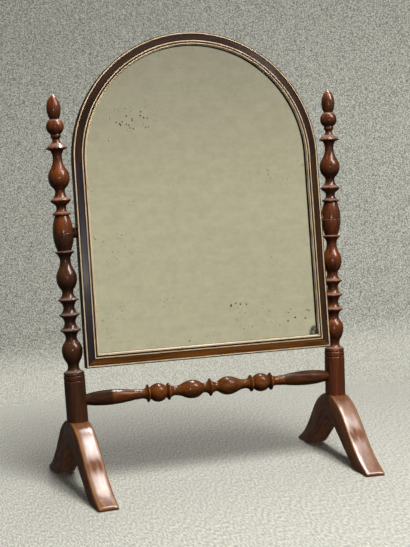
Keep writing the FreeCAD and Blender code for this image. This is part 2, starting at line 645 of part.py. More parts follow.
def leg_outline(sketch):
    """Back half of a foot: seat, shoulder, limb, flare, toe, sole, inner limb and half the arch's crown."""
    top = number("Sizes.leg_height + Sizes.seat_trim")
    outer = math.radians(number("Sizes.limb_angle"))
    inner = math.radians(number("Sizes.inner_limb_angle"))
    down = Vector(math.cos(outer), -math.sin(outer), 0)
    outward = Vector(math.sin(outer), math.cos(outer), 0)
    seat_edge = Vector(number("Sizes.seat_half"), top, 0)
    toe_top = Vector(number("Sizes.leg_reach"), number("Sizes.toe_thickness"), 0)
    toe_foot = Vector(toe_top.x, 0, 0)

    shoulder = number("Sizes.shoulder_radius")
    reach = number("Sizes.shoulder_reach")
    aside = seat_edge.x - reach + shoulder * outward.x
    shoulder_height = top + shoulder * outward.y - math.sqrt(shoulder ** 2 - aside ** 2)
    limb_top = Vector(reach, shoulder_height, 0)
    shoulder_centre = limb_top - outward * shoulder
    flare = number("Sizes.flare_radius")
    to_toe = toe_top - limb_top
    limb_run = to_toe.dot(down) - math.sqrt(flare ** 2 - (to_toe.dot(outward) - flare) ** 2)
    limb_foot = limb_top + down * limb_run
    flare_centre = limb_foot + outward * flare

    inner_down = Vector(math.cos(inner), -math.sin(inner), 0)
    inner_outward = Vector(math.sin(inner), math.cos(inner), 0)
    crown = number("Sizes.crown_radius")
    apex = Vector(0, number("Sizes.arch_height"), 0)
    crown_centre = apex - Vector(0, crown, 0)
    crown_foot = crown_centre + inner_outward * crown
    sole = number("Sizes.sole_radius")
    inner_run = (crown_foot.y - sole * (1 - inner_outward.y)) / -inner_down.y
    inner_foot = crown_foot + inner_down * inner_run
    sole_centre = inner_foot + inner_outward * sole
    sole_start = Vector(sole_centre.x, 0, 0)

    line = Part.LineSegment
    crest = Vector(0, top, 0)
    for segment in (
        line(apex, crest), line(crest, seat_edge), short_arc(shoulder_centre, seat_edge, limb_top),
        line(limb_top, limb_foot), short_arc(flare_centre, limb_foot, toe_top), line(toe_top, toe_foot),
        line(toe_foot, sole_start), short_arc(sole_centre, sole_start, inner_foot),
        line(crown_foot, inner_foot), short_arc(crown_centre, crown_foot, apex),
    ):
        sketch.addGeometry(segment, False)
    order = (
        apex, crest, seat_edge, limb_top, limb_foot, toe_top, toe_foot, sole_start, inner_foot, crown_foot,
    )
    ends = [ends_of(sketch, index, start) for index, start in enumerate(order)]
    smooth = {2: 3, 3: 4, 6: 7, 7: 8, 8: 9}
    for index in range(len(order)):
        following = (index + 1) % len(order)
        kind = "Tangent" if smooth.get(index) == following else "Coincident"
        finish, start = ends[index][1], ends[following][0]
        sketch.addConstraint(Sketcher.Constraint(kind, index, finish, following, start))
    place_point(sketch, 0, ends[0][0], "0", "Sizes.arch_height")
    place_point(sketch, 1, ends[1][0], "0", "Sizes.leg_height + Sizes.seat_trim")
    place_point(sketch, 2, ends[2][0], "Sizes.seat_half", "Sizes.leg_height + Sizes.seat_trim")
    place_point(sketch, 5, ends[5][0], "Sizes.leg_reach", "Sizes.toe_thickness")
    place_point(sketch, 6, ends[6][0], "Sizes.leg_reach", "0")
    sketch.addConstraint(Sketcher.Constraint("Horizontal", 6))
    reach_bound = Sketcher.Constraint("DistanceX", -1, 1, 3, ends[3][0], reach)
    bind(sketch, reach_bound, "Sizes.shoulder_reach")
    rounds = {
        2: "Sizes.shoulder_radius", 4: "Sizes.flare_radius",
        7: "Sizes.sole_radius", 9: "Sizes.crown_radius",
    }
    for index, radius in rounds.items():
        bind(sketch, Sketcher.Constraint("Radius", index, number(radius)), radius)
    sketch.addConstraint(Sketcher.Constraint("PointOnObject", 9, 3, -2))
    bind(sketch, Sketcher.Constraint("Angle", 3, -outer), "-Sizes.limb_angle")
    bind(sketch, Sketcher.Constraint("Angle", 8, -inner), "-Sizes.inner_limb_angle")


def make_leg(name, side):
    """Arched foot, its seat squared to the leaning post and bored for the tenon."""
    body = doc.addObject("PartDesign::Body", name + "_board")
    sketch = sketch_on(body, name + "_outline", "YZ_Plane")
    leg_outline(sketch)
    half = pad(body, sketch, "Sizes.leg_thickness", midplane=True)
    whole = body.newObject("PartDesign::Mirrored", name + "_halves")
    whole.Originals = [half]
    whole.MirrorPlane = (sketch, ["V_Axis"])
    body.Tip = whole
    body.Placement = Placement(Vector(), Rotation(Vector(0, 0, -side), number("Sizes.leg_turn")))
    body.setExpression("Placement.Base.x", f"{side} * Sizes.post_spacing / 2")
    body.setExpression("Placement.Rotation.Angle", "Sizes.leg_turn")
    doc.recompute()

    plane = doc.addObject("Part::Box", name + "_seat_plane")
    plane.setExpression("Length", "2 * Sizes.leg_thickness")
    plane.setExpression("Width", "4 * Sizes.seat_half")
    plane.setExpression("Height", "Sizes.leg_thickness")
    corner = Vector(-number("Sizes.leg_thickness"), -2 * number("Sizes.seat_half"), 0)
    plane.Placement = post_placement(side).multiply(Placement(corner, Rotation()))
    depth = number("Sizes.foot_tenon_length + Sizes.end_clearance")
    bottom = post_placement(side).multiply(Placement(Vector(0, 0, -depth), Rotation()))
    mortise = rod(name + "_mortise", "Sizes.foot_tenon_radius + Sizes.turning_clearance",
                  "Sizes.foot_tenon_length + Sizes.end_clearance + Sizes.seat_trim", bottom)
    node(name, cut(body, [plane, mortise], name))


ACROSS = Rotation(Vector(0, 1, 0), 90)


def pivot_hole(name, side):
    """Bore for the pivot pin, from inside the barrel's face to just past the pin's end."""
    near, far = number("Fits.frame_half"), number("Fits.pin_tip + Sizes.end_clearance")
    base = Vector(near if side > 0 else -far, 0, number("Fits.pivot_height"))
    return rod(name, "Sizes.pin_radius + Sizes.turning_clearance",
               "Fits.pin_tip + Sizes.end_clearance - Fits.frame_half", Placement(base, ACROSS))


def make_posts(label, side):
    """Lower and upper post of one side, with the pivot's bore halved between them."""
    lower = turning(label + "_lower_post", "-Sizes.foot_tenon_length", lower_post_steps())
    stand_on_seat(lower, side)
    upper = turning(label + "_upper_post", "-Sizes.joint_tenon_length", upper_post_steps())
    stand_on_seat(upper, side, "Fits.barrel_joint")
    doc.recompute()

    joint = number("Fits.barrel_joint")
    depth = number("Sizes.joint_tenon_length + Sizes.end_clearance")
    bottom = post_placement(side).multiply(Placement(Vector(0, 0, joint - depth), Rotation()))
    joint_socket = rod(label + "_joint_socket", "Sizes.joint_tenon_radius + Sizes.turning_clearance",
                       "Sizes.joint_tenon_length + 2 * Sizes.end_clearance", bottom)
    inner_end = number("Fits.stretcher_half + Sizes.end_clearance")
    length = number("2 * Sizes.column_radius")
    base = Vector(inner_end - length if side > 0 else -inner_end, 0, number("Fits.stretcher_height"))
    rail_socket = rod(label + "_rail_socket", "Sizes.club_end_radius + Sizes.turning_clearance",
                      "2 * Sizes.column_radius", Placement(base, ACROSS))
    low_bore = pivot_hole(label + "_low_bore", side)
    high_bore = pivot_hole(label + "_high_bore", side)
    node(label + "_lower_post", cut(lower, [joint_socket, rail_socket, low_bore], label + "_lower_post"))
    node(label + "_upper_post", cut(upper, [high_bore], label + "_upper_post"))


def make_stretcher():
    """Turned rail between the posts, lying along X."""
    steps = both_ways(half_stretcher_steps(), "Sizes.mid_ring_radius")
    ends = [(LINE, "Sizes.club_end_radius", "0"), *steps, (LINE, "0", "0")]
    body = turning("stretcher", "-Fits.stretcher_half", ends)
    body.Placement = Placement(Vector(0, 0, number("Fits.stretcher_height")), ACROSS)
    body.setExpression("Placement.Base.z", "Fits.stretcher_height")
    node("stretcher", body)


# Mirror frame, drawn about the pivot with the mirror upright, then hung at its rest tilt

def hang(piece):
    """Hangs a piece of the mirror on the pivot, leaning back by the rest tilt."""
    height, tilt = number("Fits.pivot_height"), number("Sizes.rest_tilt")
    piece.Placement = Placement(Vector(0, 0, height), Rotation(Vector(-1, 0, 0), tilt))
    piece.setExpression("Placement.Base.z", "Fits.pivot_height")
    piece.setExpression("Placement.Rotation.Angle", "Sizes.rest_tilt")
    return piece


def hung(local):
    """Placement in the part's frame of something placed in the upright mirror's frame."""
    base = Vector(0, 0, number("Fits.pivot_height"))
    tilt = Rotation(Vector(-1, 0, 0), number("Sizes.rest_tilt"))
    return Placement(base, tilt).multiply(local)


def mirror_body(name):
    """Empty body of the mirror."""
    return hang(doc.addObject("PartDesign::Body", name + "_body"))


def rail_section():
    """Corners of the frame's section: distance in from the outer edge, then depth."""
    rim_bed = "Fits.front + Sizes.band_depth"
    crown_bed = "Fits.crown + Sizes.band_depth"
    return [
        ("0", "Fits.front"),
        ("Sizes.rim_width", "Fits.front"),
        ("Sizes.rim_width", rim_bed),
        ("Fits.veneer_start", rim_bed),
        ("Fits.veneer_end", crown_bed),
        ("Fits.bead_start", crown_bed),
        ("Fits.bead_start", "Fits.crown"),
        ("Fits.sight_line_start", "Fits.crown"),
        ("Fits.sight_line_start", crown_bed),
        ("Fits.sight_line_end", crown_bed),
        ("Fits.sight_line_end", "Fits.crown"),
        ("Sizes.frame_face", "Fits.crown + Sizes.bevel_depth"),
        ("Sizes.frame_face", "Fits.glass_front"),
        ("Sizes.rebate_wall", "Fits.glass_front"),
        ("Sizes.rebate_wall", "Fits.frame_back"),
        ("0", "Fits.frame_back"),
    ]


def line_section(start, end, face):
    """Corners of a stringing line that stands a little proud of the face it is let into."""
    foot = f"{face} + Sizes.band_depth"
    top = f"{face} - Sizes.stringing_proud"
    return [(start, foot), (end, foot), (end, top), (start, top)]


def upright_section(section, side):
    """Section of a stile on one side: across, then depth."""
    return [(f"{side} * (Fits.frame_half - ({inset}))", depth) for inset, depth in section]


def add_arch(body, name, section):
    """Half turn of a section about the arch's centre."""
    sketch = sketch_on(body, name + "_arch_section", "XY_Plane", "Sizes.stile_rise")
    polygon(sketch, upright_section(section, 1))
    doc.recompute()
    feature = body.newObject("PartDesign::Revolution", name + "_bend")
    feature.Profile = sketch
    feature.ReferenceAxis = (sketch, ["V_Axis"])
    feature.Angle = 180
    feature.Reversed = True
    doc.recompute()


def add_stile(body, name, section, side):
    """Straight run of a section from the springing down to its mitre with the bottom rail."""
    label = f"{name}_{'right' if side > 0 else 'left'}"
    sketch = sketch_on(body, label + "_section", "XY_Plane", "Sizes.stile_rise")
    polygon(sketch, upright_section(section, side))
    pad(body, sketch, "Sizes.stile_rise + Sizes.frame_drop", backwards=True)
    mitre = sketch_on(body, label + "_mitre", "XZ_Plane")
    face = "Sizes.frame_face"
    inner = f"{side} * (Fits.frame_half - {face})"
    polygon(mitre, [
        (f"{side} * Fits.frame_half", "-Sizes.frame_drop"),
        (inner, f"{face} - Sizes.frame_drop"),
        (inner, "-Sizes.frame_drop"),
    ])
    pocket(body, mitre, None, through=True)


def add_foot_rail(body, name, section):
    """Bottom run of a section, mitred at both ends."""
    sketch = sketch_on(body, name + "_section", "YZ_Plane")
    polygon(sketch, [(depth, f"{inset} - Sizes.frame_drop") for inset, depth in section])
    pad(body, sketch, "2 * Fits.frame_half", midplane=True)
    face = "Sizes.frame_face"
    for label, side in SIDES:
        mitre = sketch_on(body, f"{name}_{label}_mitre", "XZ_Plane")
        outer = f"{side} * Fits.frame_half"
        polygon(mitre, [
            (outer, "-Sizes.frame_drop"),
            (outer, f"{face} - Sizes.frame_drop"),
            (f"{side} * (Fits.frame_half - {face})", f"{face} - Sizes.frame_drop"),
        ])
        pocket(body, mitre, None, through=True)


def bore_end(body, name, side, backwards):
    """Blind hole for a dowel in the end of a stile or of the arch."""
    sketch = sketch_on(body, name, "XY_Plane", "Sizes.stile_rise")
    circle(sketch, f"{side} * (Fits.frame_half - Fits.wall_middle)", "Fits.wall_depth",
           "Sizes.dowel_radius + Sizes.turning_clearance")
    pocket(body, sketch, "Sizes.dowel_length / 2 + Sizes.end_clearance", backwards)


def key_outline(sketch, side):
    """Corner key: a right-angled triangle in the corner."""
    outer = f"{side} * Fits.frame_half"
    polygon(sketch, [
        (outer, "-Sizes.frame_drop"),
        (outer, "Sizes.key_leg - Sizes.frame_drop"),
        (f"{side} * (Fits.frame_half - Sizes.key_leg)", "-Sizes.frame_drop"),
    ])


KEY_OFFSET = "-(Fits.wall_depth + Sizes.key_thickness / 2)"


def kerf(body, name, side):
    """Slot for a corner key."""
    sketch = sketch_on(body, name, "XZ_Plane", KEY_OFFSET)
    key_outline(sketch, side)
    pocket(body, sketch, "Sizes.key_thickness", backwards=True)


def edge_sketch(body, name, side, inset="0"):
    """Sketch on the outer edge of a stile, or in from it, with depth across and height up."""
    return sketch_on(body, name, "YZ_Plane", f"{side} * (Fits.frame_half - ({inset}))")


def plate_outline(sketch):
    """Rectangle of a pivot plate about the pivot."""
    half_width, half_length = "Sizes.plate_width / 2", "Sizes.plate_length / 2"
    polygon(sketch, [
        (f"-{half_width}", f"-{half_length}"), (half_width, f"-{half_length}"),
        (half_width, half_length), (f"-{half_width}", half_length),
    ])


def screw_holes(sketch, radius):
    """Both screw holes of a plate."""
    for side in (-1, 1):
        circle(sketch, "0", f"{side} * Sizes.plate_screw_pitch / 2", radius)


def make_frame():
    """Rebated frame: arch, stiles and bottom rail, with dowels and corner keys."""
    section = rail_section()
    arch = mirror_body("arch_rail")
    add_arch(arch, "arch_rail", section)
    for label, side in SIDES:
        bore_end(arch, f"arch_{label}_dowel_hole", side, backwards=True)
    node("arch_rail", arch)

    for label, side in SIDES:
        name = label + "_stile"
        stile = mirror_body(name)
        add_stile(stile, name, section, side)
        bore_end(stile, name + "_dowel_hole", side, backwards=False)
        kerf(stile, name + "_kerf", side)
        inward = side < 0
        recess = edge_sketch(stile, name + "_recess", side)
        plate_outline(recess)
        pocket(stile, recess, "Sizes.plate_thickness", backwards=inward)
        pin_hole = edge_sketch(stile, name + "_pin_hole", side)
        circle(pin_hole, "0", "0", "Sizes.pin_radius + Sizes.turning_clearance")
        pocket(stile, pin_hole, "Sizes.pin_embed + Sizes.end_clearance", backwards=inward)
        pilot = edge_sketch(stile, name + "_pilots", side)
        screw_holes(pilot, "Sizes.screw_radius + Sizes.turning_clearance")
        pocket(stile, pilot, "Sizes.screw_length + Sizes.end_clearance", backwards=inward)
        node(name, stile)

    rail = mirror_body("bottom_rail")
    add_foot_rail(rail, "bottom_rail", section)
    for label, side in SIDES:
        kerf(rail, f"bottom_rail_{label}_kerf", side)
    node("bottom_rail", rail)

    keys = []
    for label, side in SIDES:
        key = mirror_body(label + "_corner_key")
        sketch = sketch_on(key, label + "_corner_key_outline", "XZ_Plane", KEY_OFFSET)
        key_outline(sketch, side)
        pad(key, sketch, "Sizes.key_thickness")
        keys.append(key)
    group("corner_keys", keys)

    dowels = []
    for label, side in SIDES:
        across = side * number("Fits.frame_half - Fits.wall_middle")
        low_end = number("Sizes.stile_rise - Sizes.dowel_length / 2")
        foot = Vector(across, number("Fits.wall_depth"), low_end)
        dowels.append(rod(label + "_stile_dowel", "Sizes.dowel_radius", "Sizes.dowel_length",
                          hung(Placement(foot, Rotation()))))
    group("stile_dowels", dowels)


def group(name, pieces):
    """Node of separate like solids."""
    together = doc.addObject("Part::Compound", name)
    together.Links = pieces
    doc.recompute()
    node(name, together)


def make_banding():
    """Dark veneer in four lengths, and three stringing lines, each a bent hoop and a foot strip."""
    veneer = [
        ("Fits.veneer_start", "Fits.front + Sizes.band_depth"),
        ("Fits.veneer_end", "Fits.crown + Sizes.band_depth"),
        ("Fits.veneer_end", "Fits.crown"),
        ("Fits.veneer_start", "Fits.front"),
    ]
    arch = mirror_body("arch_veneer")
    add_arch(arch, "arch_veneer", veneer)
    node("arch_veneer", arch)
    for label, side in SIDES:
        stile = mirror_body(label + "_stile_veneer")
        add_stile(stile, label + "_stile_veneer", veneer, side)
        node(label + "_stile_veneer", stile)
    foot = mirror_body("bottom_veneer")
    add_foot_rail(foot, "bottom_veneer", veneer)
    node("bottom_veneer", foot)

    lines = {
        "outer": line_section("Sizes.rim_width", "Fits.veneer_start", "Fits.front"),
        "inner": line_section("Fits.veneer_end", "Fits.bead_start", "Fits.crown"),
        "sight": line_section("Fits.sight_line_start", "Fits.sight_line_end", "Fits.crown"),
    }
    for label, section in lines.items():
        hoop = mirror_body(label + "_stringing_hoop")
        add_arch(hoop, label + "_hoop", section)
        for _, side in SIDES:
            add_stile(hoop, label + "_hoop", section, side)
        node(label + "_stringing_hoop", hoop)
        strip = mirror_body(label + "_stringing_foot")
        add_foot_rail(strip, label + "_strip", section)
        node(label + "_stringing_foot", strip)


# Glass, back and pivots

def plate(name, inset, front, thickness):
    """Arched plate in the rebate, from its front face backwards."""
    body = mirror_body(name)
    sketch = sketch_on(body, name + "_outline", "XZ_Plane", f"-({front})")
    arched(sketch, f"Fits.frame_half - {inset}", f"{inset} - Sizes.frame_drop", "Sizes.stile_rise")
    pad(body, sketch, thickness, backwards=True)
    return body


def block_places():
    """Middle of each glazing block on the mirror's face, and its turn from level in degrees."""
    side = number("Fits.frame_half - Fits.block_line")
    low = number("Fits.block_line - Sizes.frame_drop")
    spring = number("Sizes.stile_rise")
    pitch = number("Sizes.side_block_pitch")
    step = number("Sizes.arch_block_step")
    spread = number("Sizes.foot_block_pitch")
    places = [(across * spread, low, 0) for across in (-1, 0, 1)]
    for end in (-1, 1):
        places += [(end * side, spring - pitch * count, 90) for count in (1, 2)]
    for turn in (-1.5, -0.5, 0.5, 1.5):
        angle = math.radians(90 + turn * step)
        places.append((side * math.cos(angle), spring + side * math.sin(angle), turn * step))
    return places


def make_glazing():
    """Plate, silvering, glazing blocks, planks and brads."""
    glass = plate("mirror_glass", "Fits.glass_inset", "Fits.glass_front", "Sizes.glass_thickness")
    node("mirror_glass", glass)
    silver = plate("silvering", "Fits.silver_inset", "Fits.glass_back", "Sizes.silver_thickness")
    node("silvering", silver)

    blocks, brads, holes = [], [], []
    back = number("Fits.frame_back")
    shank = number("Sizes.board_thickness + Sizes.nail_bite")
    rearward = Rotation(Vector(1, 0, 0), -90)
    for index, (across, up, turn) in enumerate(block_places(), 1):
        block = doc.addObject("Part::Box", f"glazing_block_{index}")
        block.setExpression("Length", "Sizes.block_length")
        block.setExpression("Width", "Fits.board_front - Fits.silver_back")
        block.setExpression("Height", "Sizes.block_width")
        middle = Placement(Vector(across, number("Fits.silver_back"), up), Rotation(Vector(0, -1, 0), turn))
        corner = Vector(-number("Sizes.block_length") / 2, 0, -number("Sizes.block_width") / 2)
        block.Placement = hung(middle.multiply(Placement(corner, Rotation())))

        point = hung(Placement(Vector(across, back - shank, up), rearward))
        bottom = back - shank - number("Sizes.turning_clearance")
        deep = hung(Placement(Vector(across, bottom, up), rearward))
        seat = hung(Placement(Vector(across, back, up), rearward))
        hole = rod(f"brad_hole_{index}", "Sizes.nail_radius + Sizes.turning_clearance",
                   "Sizes.board_thickness + Sizes.nail_bite + Sizes.end_clearance", deep)
        brad = doc.addObject("Part::Fuse", f"brad_{index}")
        brad.Base = rod(f"brad_shank_{index}", "Sizes.nail_radius",
                        "Sizes.board_thickness + Sizes.nail_bite", point)
        brad.Tool = rod(f"brad_head_{index}", "Sizes.nail_head_radius", "Sizes.nail_head_height", seat)
        blocks.append(cut(block, [hole], f"glazing_block_{index}"))
        holes.append(hole)
        brads.append(brad)
    group("glazing_blocks", blocks)
    group("backboard_nails", brads)

    all_holes = doc.addObject("Part::Compound", "brad_holes")
    all_holes.Links = holes
    half_plank = "Sizes.plank_width / 2"
    half_board = "Fits.frame_half - Fits.board_inset"
    spans = {
        "backboard_left": (f"-({half_board})", f"-({half_plank} + Sizes.plank_gap)"),
        "backboard_centre": (f"-({half_plank})", half_plank),
        "backboard_right": (f"{half_plank} + Sizes.plank_gap", half_board),
    }
    for name, (start, end) in spans.items():
        board = plate(name, "Fits.board_inset", "Fits.board_front", "Sizes.board_thickness")
        slab = doc.addObject("Part::Box", name + "_slab")
        slab.setExpression("Length", f"{end} - ({start})")
        slab.setExpression("Width", "Sizes.board_thickness")
        slab.setExpression("Height", "Sizes.frame_drop + Sizes.stile_rise + Fits.frame_half")
        corner = Vector(number(start), number("Fits.board_front"), -number("Sizes.frame_drop"))
        slab.Placement = hung(Placement(corner, Rotation()))
        plank = doc.addObject("Part::Common", name + "_plank")
        plank.Base = board
        plank.Tool = slab
        doc.recompute()
        node(name, cut(plank, [all_holes], name))


def make_pivots(label, side):
    """Brass plate, its screws, the pin and the leather washer of one side."""
    outward = Rotation(Vector(0, 1, 0), 90 * side)
    inward = side < 0
    name = label + "_pivot_plate"
    brass = mirror_body(name)
    outline = edge_sketch(brass, name + "_outline", side, "Sizes.plate_thickness")
    plate_outline(outline)
    pad(brass, outline, "Sizes.plate_thickness", backwards=inward)
    bores = edge_sketch(brass, name + "_bores", side)
    circle(bores, "0", "0", "Sizes.pin_radius + Sizes.turning_clearance")
    screw_holes(bores, "Sizes.screw_radius + Sizes.turning_clearance")
    pocket(brass, bores, "Sizes.plate_thickness", backwards=inward)
    head_steps = [
        (LINE, "Sizes.screw_radius", "0"),
        (LINE, "Sizes.screw_radius", "Sizes.screw_length - Sizes.screw_head_height"),
        (LINE, "Sizes.screw_head_radius", "Sizes.screw_head_height"),
        (LINE, "0", "0"),
    ]
    screws, sinks = [], []
    for end, up in (("low", -1), ("high", 1)):
        screw = turning(f"{label}_{end}_screw", "-Sizes.screw_length", head_steps)
        edge = Vector(side * number("Fits.frame_half"), 0, up * number("Sizes.plate_screw_pitch / 2"))
        screw.Placement = hung(Placement(edge, outward))
        sink = doc.addObject("Part::Cone", f"{label}_{end}_sink")
        sink.setExpression("Radius1", "Sizes.screw_radius + Sizes.turning_clearance")
        sink.setExpression("Radius2", "Sizes.screw_head_radius + Sizes.turning_clearance")
        sink.setExpression("Height", "Sizes.screw_head_height")
        lowered = Placement(Vector(0, 0, -number("Sizes.screw_head_height")), Rotation())
        sink.Placement = hung(Placement(edge, outward).multiply(lowered))
        screws.append(screw)
        sinks.append(sink)
    doc.recompute()
    node(name, cut(brass, sinks, name))
    group(label + "_plate_screws", screws)

    inner_end = Vector(side * number("Fits.frame_half - Sizes.pin_embed"), 0, 0)
    pin = rod(label + "_pivot_pin", "Sizes.pin_radius", "Fits.pin_tip - Fits.frame_half + Sizes.pin_embed",
              hung(Placement(inner_end, outward)))
    node(label + "_pivot_pin", pin)

    washer = mirror_body(label + "_pivot_washer")
    ring = edge_sketch(washer, label + "_washer_ring", side)
    circle(ring, "0", "0", "Sizes.washer_radius")
    circle(ring, "0", "0", "Sizes.pin_radius + Sizes.turning_clearance")
    pad(washer, ring, "Sizes.washer_thickness", backwards=inward)
    node(label + "_pivot_washer", washer)


def check_and_write():
    """Stops on a failed object or a bad shape, then writes each sub-part to its file."""
    doc.recompute()
    for item in doc.Objects:
        faults = [state for state in item.State if state in ("Invalid", "Error")]
        if faults:
            raise RuntimeError(f"{item.Label} is {faults}")
    for name, piece in nodes.items():
        if piece.Shape.isNull() or not piece.Shape.isValid():
            raise RuntimeError(f"{name} has no valid shape")
    os.makedirs("parts", exist_ok=True)
    for name, piece in nodes.items():
        piece.Shape.exportStep(f"parts/{name}.step")
        box = piece.Shape.optimalBoundingBox()
        print(f"{name}: {len(piece.Shape.Solids)} solid(s), {piece.Shape.Volume / 1000:.2f} cm3, "
              f"x {box.XMin:.1f}..{box.XMax:.1f} y {box.YMin:.1f}..{box.YMax:.1f} "
              f"z {box.ZMin:.1f}..{box.ZMax:.1f}")


for side_label, side_sign in SIDES:
    make_leg(side_label + "_leg", side_sign)
    make_posts(side_label, side_sign)
make_stretcher()
make_frame()
make_banding()
make_glazing()
for side_label, side_sign in SIDES:
    make_pivots(side_label, side_sign)
check_and_write()
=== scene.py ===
"""Dress a table swing mirror: turned mahogany stand, arched veneered frame, aged plate.

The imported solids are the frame. Turned, sawn and moulded pieces are worked out again with eased arrises and with
the grain laid along each piece. Glass, boards and metalwork keep their solids and get finishes of their own.
"""

import json
import logging
import math
from dataclasses import dataclass, field, replace
from enum import Enum
from typing import ClassVar

import bpy
import numpy as np
from mathutils import Matrix, Vector


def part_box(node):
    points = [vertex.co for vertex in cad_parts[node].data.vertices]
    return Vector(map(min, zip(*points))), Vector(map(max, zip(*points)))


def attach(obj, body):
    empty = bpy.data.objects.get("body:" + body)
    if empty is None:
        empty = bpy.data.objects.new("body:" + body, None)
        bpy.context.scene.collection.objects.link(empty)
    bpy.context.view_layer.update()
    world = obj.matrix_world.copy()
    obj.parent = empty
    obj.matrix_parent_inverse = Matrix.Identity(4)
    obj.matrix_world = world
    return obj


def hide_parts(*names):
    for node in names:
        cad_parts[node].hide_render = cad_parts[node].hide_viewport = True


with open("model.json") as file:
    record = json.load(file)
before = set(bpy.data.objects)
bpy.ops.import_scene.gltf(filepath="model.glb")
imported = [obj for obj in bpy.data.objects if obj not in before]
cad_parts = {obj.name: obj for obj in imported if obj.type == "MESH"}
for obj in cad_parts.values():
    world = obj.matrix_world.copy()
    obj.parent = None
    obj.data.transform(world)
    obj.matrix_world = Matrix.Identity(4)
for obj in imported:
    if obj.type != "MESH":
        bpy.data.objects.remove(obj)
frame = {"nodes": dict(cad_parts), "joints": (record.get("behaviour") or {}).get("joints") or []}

Array = np.ndarray
Colour = tuple[float, float, float]
Triple = tuple[float, float, float]
Node = bpy.types.Node
Socket = bpy.types.NodeSocket
Sockets = dict[str, Socket]

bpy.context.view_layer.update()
LOG = logging.getLogger("table_mirror")
PIVOT_HEIGHT = frame["joints"][0]["pos_m"][2]
SHARP_ANGLE = math.radians(40)


class Side(Enum):
    """Side of the mirror, as seen by a person who faces it."""

    LEFT = -1
    RIGHT = 1

    @property
    def label(self) -> str:
        """Word that starts the names of this side's pieces."""
        return self.name.lower()


class GrainSource(Enum):
    """Where a wood finish reads its place in the timber from."""

    LAID = "timber"
    SOLID = "object"


def points_of(node: str) -> Array:
    """Return every vertex of a CAD node.

    Args:
        node: name of the node.

    Returns:
        Rows of x, y, z in metres.
    """
    mesh = frame["nodes"][node].data
    flat = np.empty(len(mesh.vertices) * 3)
    mesh.vertices.foreach_get("co", flat)
    return flat.reshape(-1, 3)


def blur(values: Array, reach: float) -> Array:
    """Average a line of values with a bell curve.

    Each value becomes the sum of its neighbours, weighted by exp(-(distance / reach)^2 / 2). The line is
    continued past its ends by turning it half a turn about each end, so that the ends stay where they are.

    Args:
        values: samples x parts.
        reach: standard deviation of the bell, in samples.

    Returns:
        The averaged samples, in the same shape.
    """
    count = min(int(math.ceil(3 * reach)), len(values) - 1)
    if count < 1:
        return values
    weights = np.exp(-0.5 * (np.arange(-count, count + 1) / reach) ** 2)
    weights /= weights.sum()
    before = 2 * values[0] - values[count:0:-1]
    after = 2 * values[-1] - values[-2:-count - 2:-1]
    padded = np.concatenate([before, values, after])
    return np.stack([np.convolve(part, weights, mode="valid") for part in padded.T], axis=1)


def curve_through(knots: Array, step: float, corner: float = math.radians(22)) -> Array:
    """Carry a smooth line through knots, sharp only where the line turns by more than a corner's angle.

    Each span is a cubic between its knots. At a smooth knot its slope is the average of the spans on both sides,
    weighted by the other span's length. At a corner the slope is the one that makes the span a parabola.

    Args:
        knots: knots x 2.
        step: wanted distance between samples.
        corner: least turn, in radians, that stays sharp.

    Returns:
        Samples x 2, the first and the last knot included.
    """
    chord = np.diff(knots, axis=0)
    length = np.linalg.norm(chord, axis=1, keepdims=True)
    slope = chord / length
    turn = np.arccos(np.clip((slope[1:] * slope[:-1]).sum(axis=1), -1, 1))
    sharp = np.concatenate([[True], turn > corner, [True]])[:, None]
    middle = (slope[:-1] * length[1:] + slope[1:] * length[:-1]) / (length[1:] + length[:-1])
    even = np.concatenate([slope[:1], middle, slope[-1:]])
    leave = np.where(sharp[:-1], np.where(sharp[1:], slope, 2 * slope - even[1:]), even[:-1])
    arrive = np.where(sharp[1:], np.where(sharp[:-1], slope, 2 * slope - even[:-1]), even[1:])
    count = np.maximum(np.ceil(length[:, 0] / step).astype(int), 1)
    span = np.repeat(np.arange(len(count)), count)
    first = np.repeat(np.cumsum(count) - count, count)
    share = ((np.arange(len(span)) - first) / count[span])[:, None]
    cube, square = share ** 3, share ** 2
    inner = ((2 * cube - 3 * square + 1) * knots[span] + (3 * square - 2 * cube) * knots[span + 1]
             + (cube - 2 * square + share) * length[span] * leave[span]
             + (cube - square) * length[span] * arrive[span])
    return np.concatenate([inner, knots[-1:]])


def evenly(line: Array, count: int) -> Array:
    """Space points evenly along a line.

    Args:
        line: samples x parts.
        count: number of points wanted.

    Returns:
        Points x parts, at equal distances along the line's length.
    """
    run = np.concatenate([[0.0], np.cumsum(np.linalg.norm(np.diff(line, axis=0), axis=1))])
    place = np.linspace(0, run[-1], count)
    return np.stack([np.interp(place, run, part) for part in line.T], axis=1)


def eased(corners: Array, radii: Array, points: int = 5) -> Array:
    """Round the corners of a closed outline.

    An arc of each corner's radius touches both of its sides. Its points divide the turn evenly, as the weighted
    sum sin((1 - w) a) start + sin(w a) end, over sin(a), about the arc's centre.

    Args:
        corners: corners x 2.
        radii: radius of each corner.
        points: points on each arc.

    Returns:
        Corners x points x 2.
    """
    back = np.roll(corners, 1, axis=0) - corners
    ahead = np.roll(corners, -1, axis=0) - corners
    back /= np.linalg.norm(back, axis=1, keepdims=True)
    ahead /= np.linalg.norm(ahead, axis=1, keepdims=True)
    half = 0.5 * np.arccos(np.clip((back * ahead).sum(axis=1), -1, 1))[:, None]
    middle = (back + ahead) / np.linalg.norm(back + ahead, axis=1, keepdims=True)
    radius = radii[:, None]
    centre = corners + middle * radius / np.sin(half)
    start = corners + back * radius / np.tan(half) - centre
    end = corners + ahead * radius / np.tan(half) - centre
    turn = (math.pi - 2 * half)[:, None, :]
    share = np.linspace(0, 1, points)[None, :, None]
    arc = np.sin((1 - share) * turn) * start[:, None] + np.sin(share * turn) * end[:, None]
    return centre[:, None] + arc / np.sin(turn)


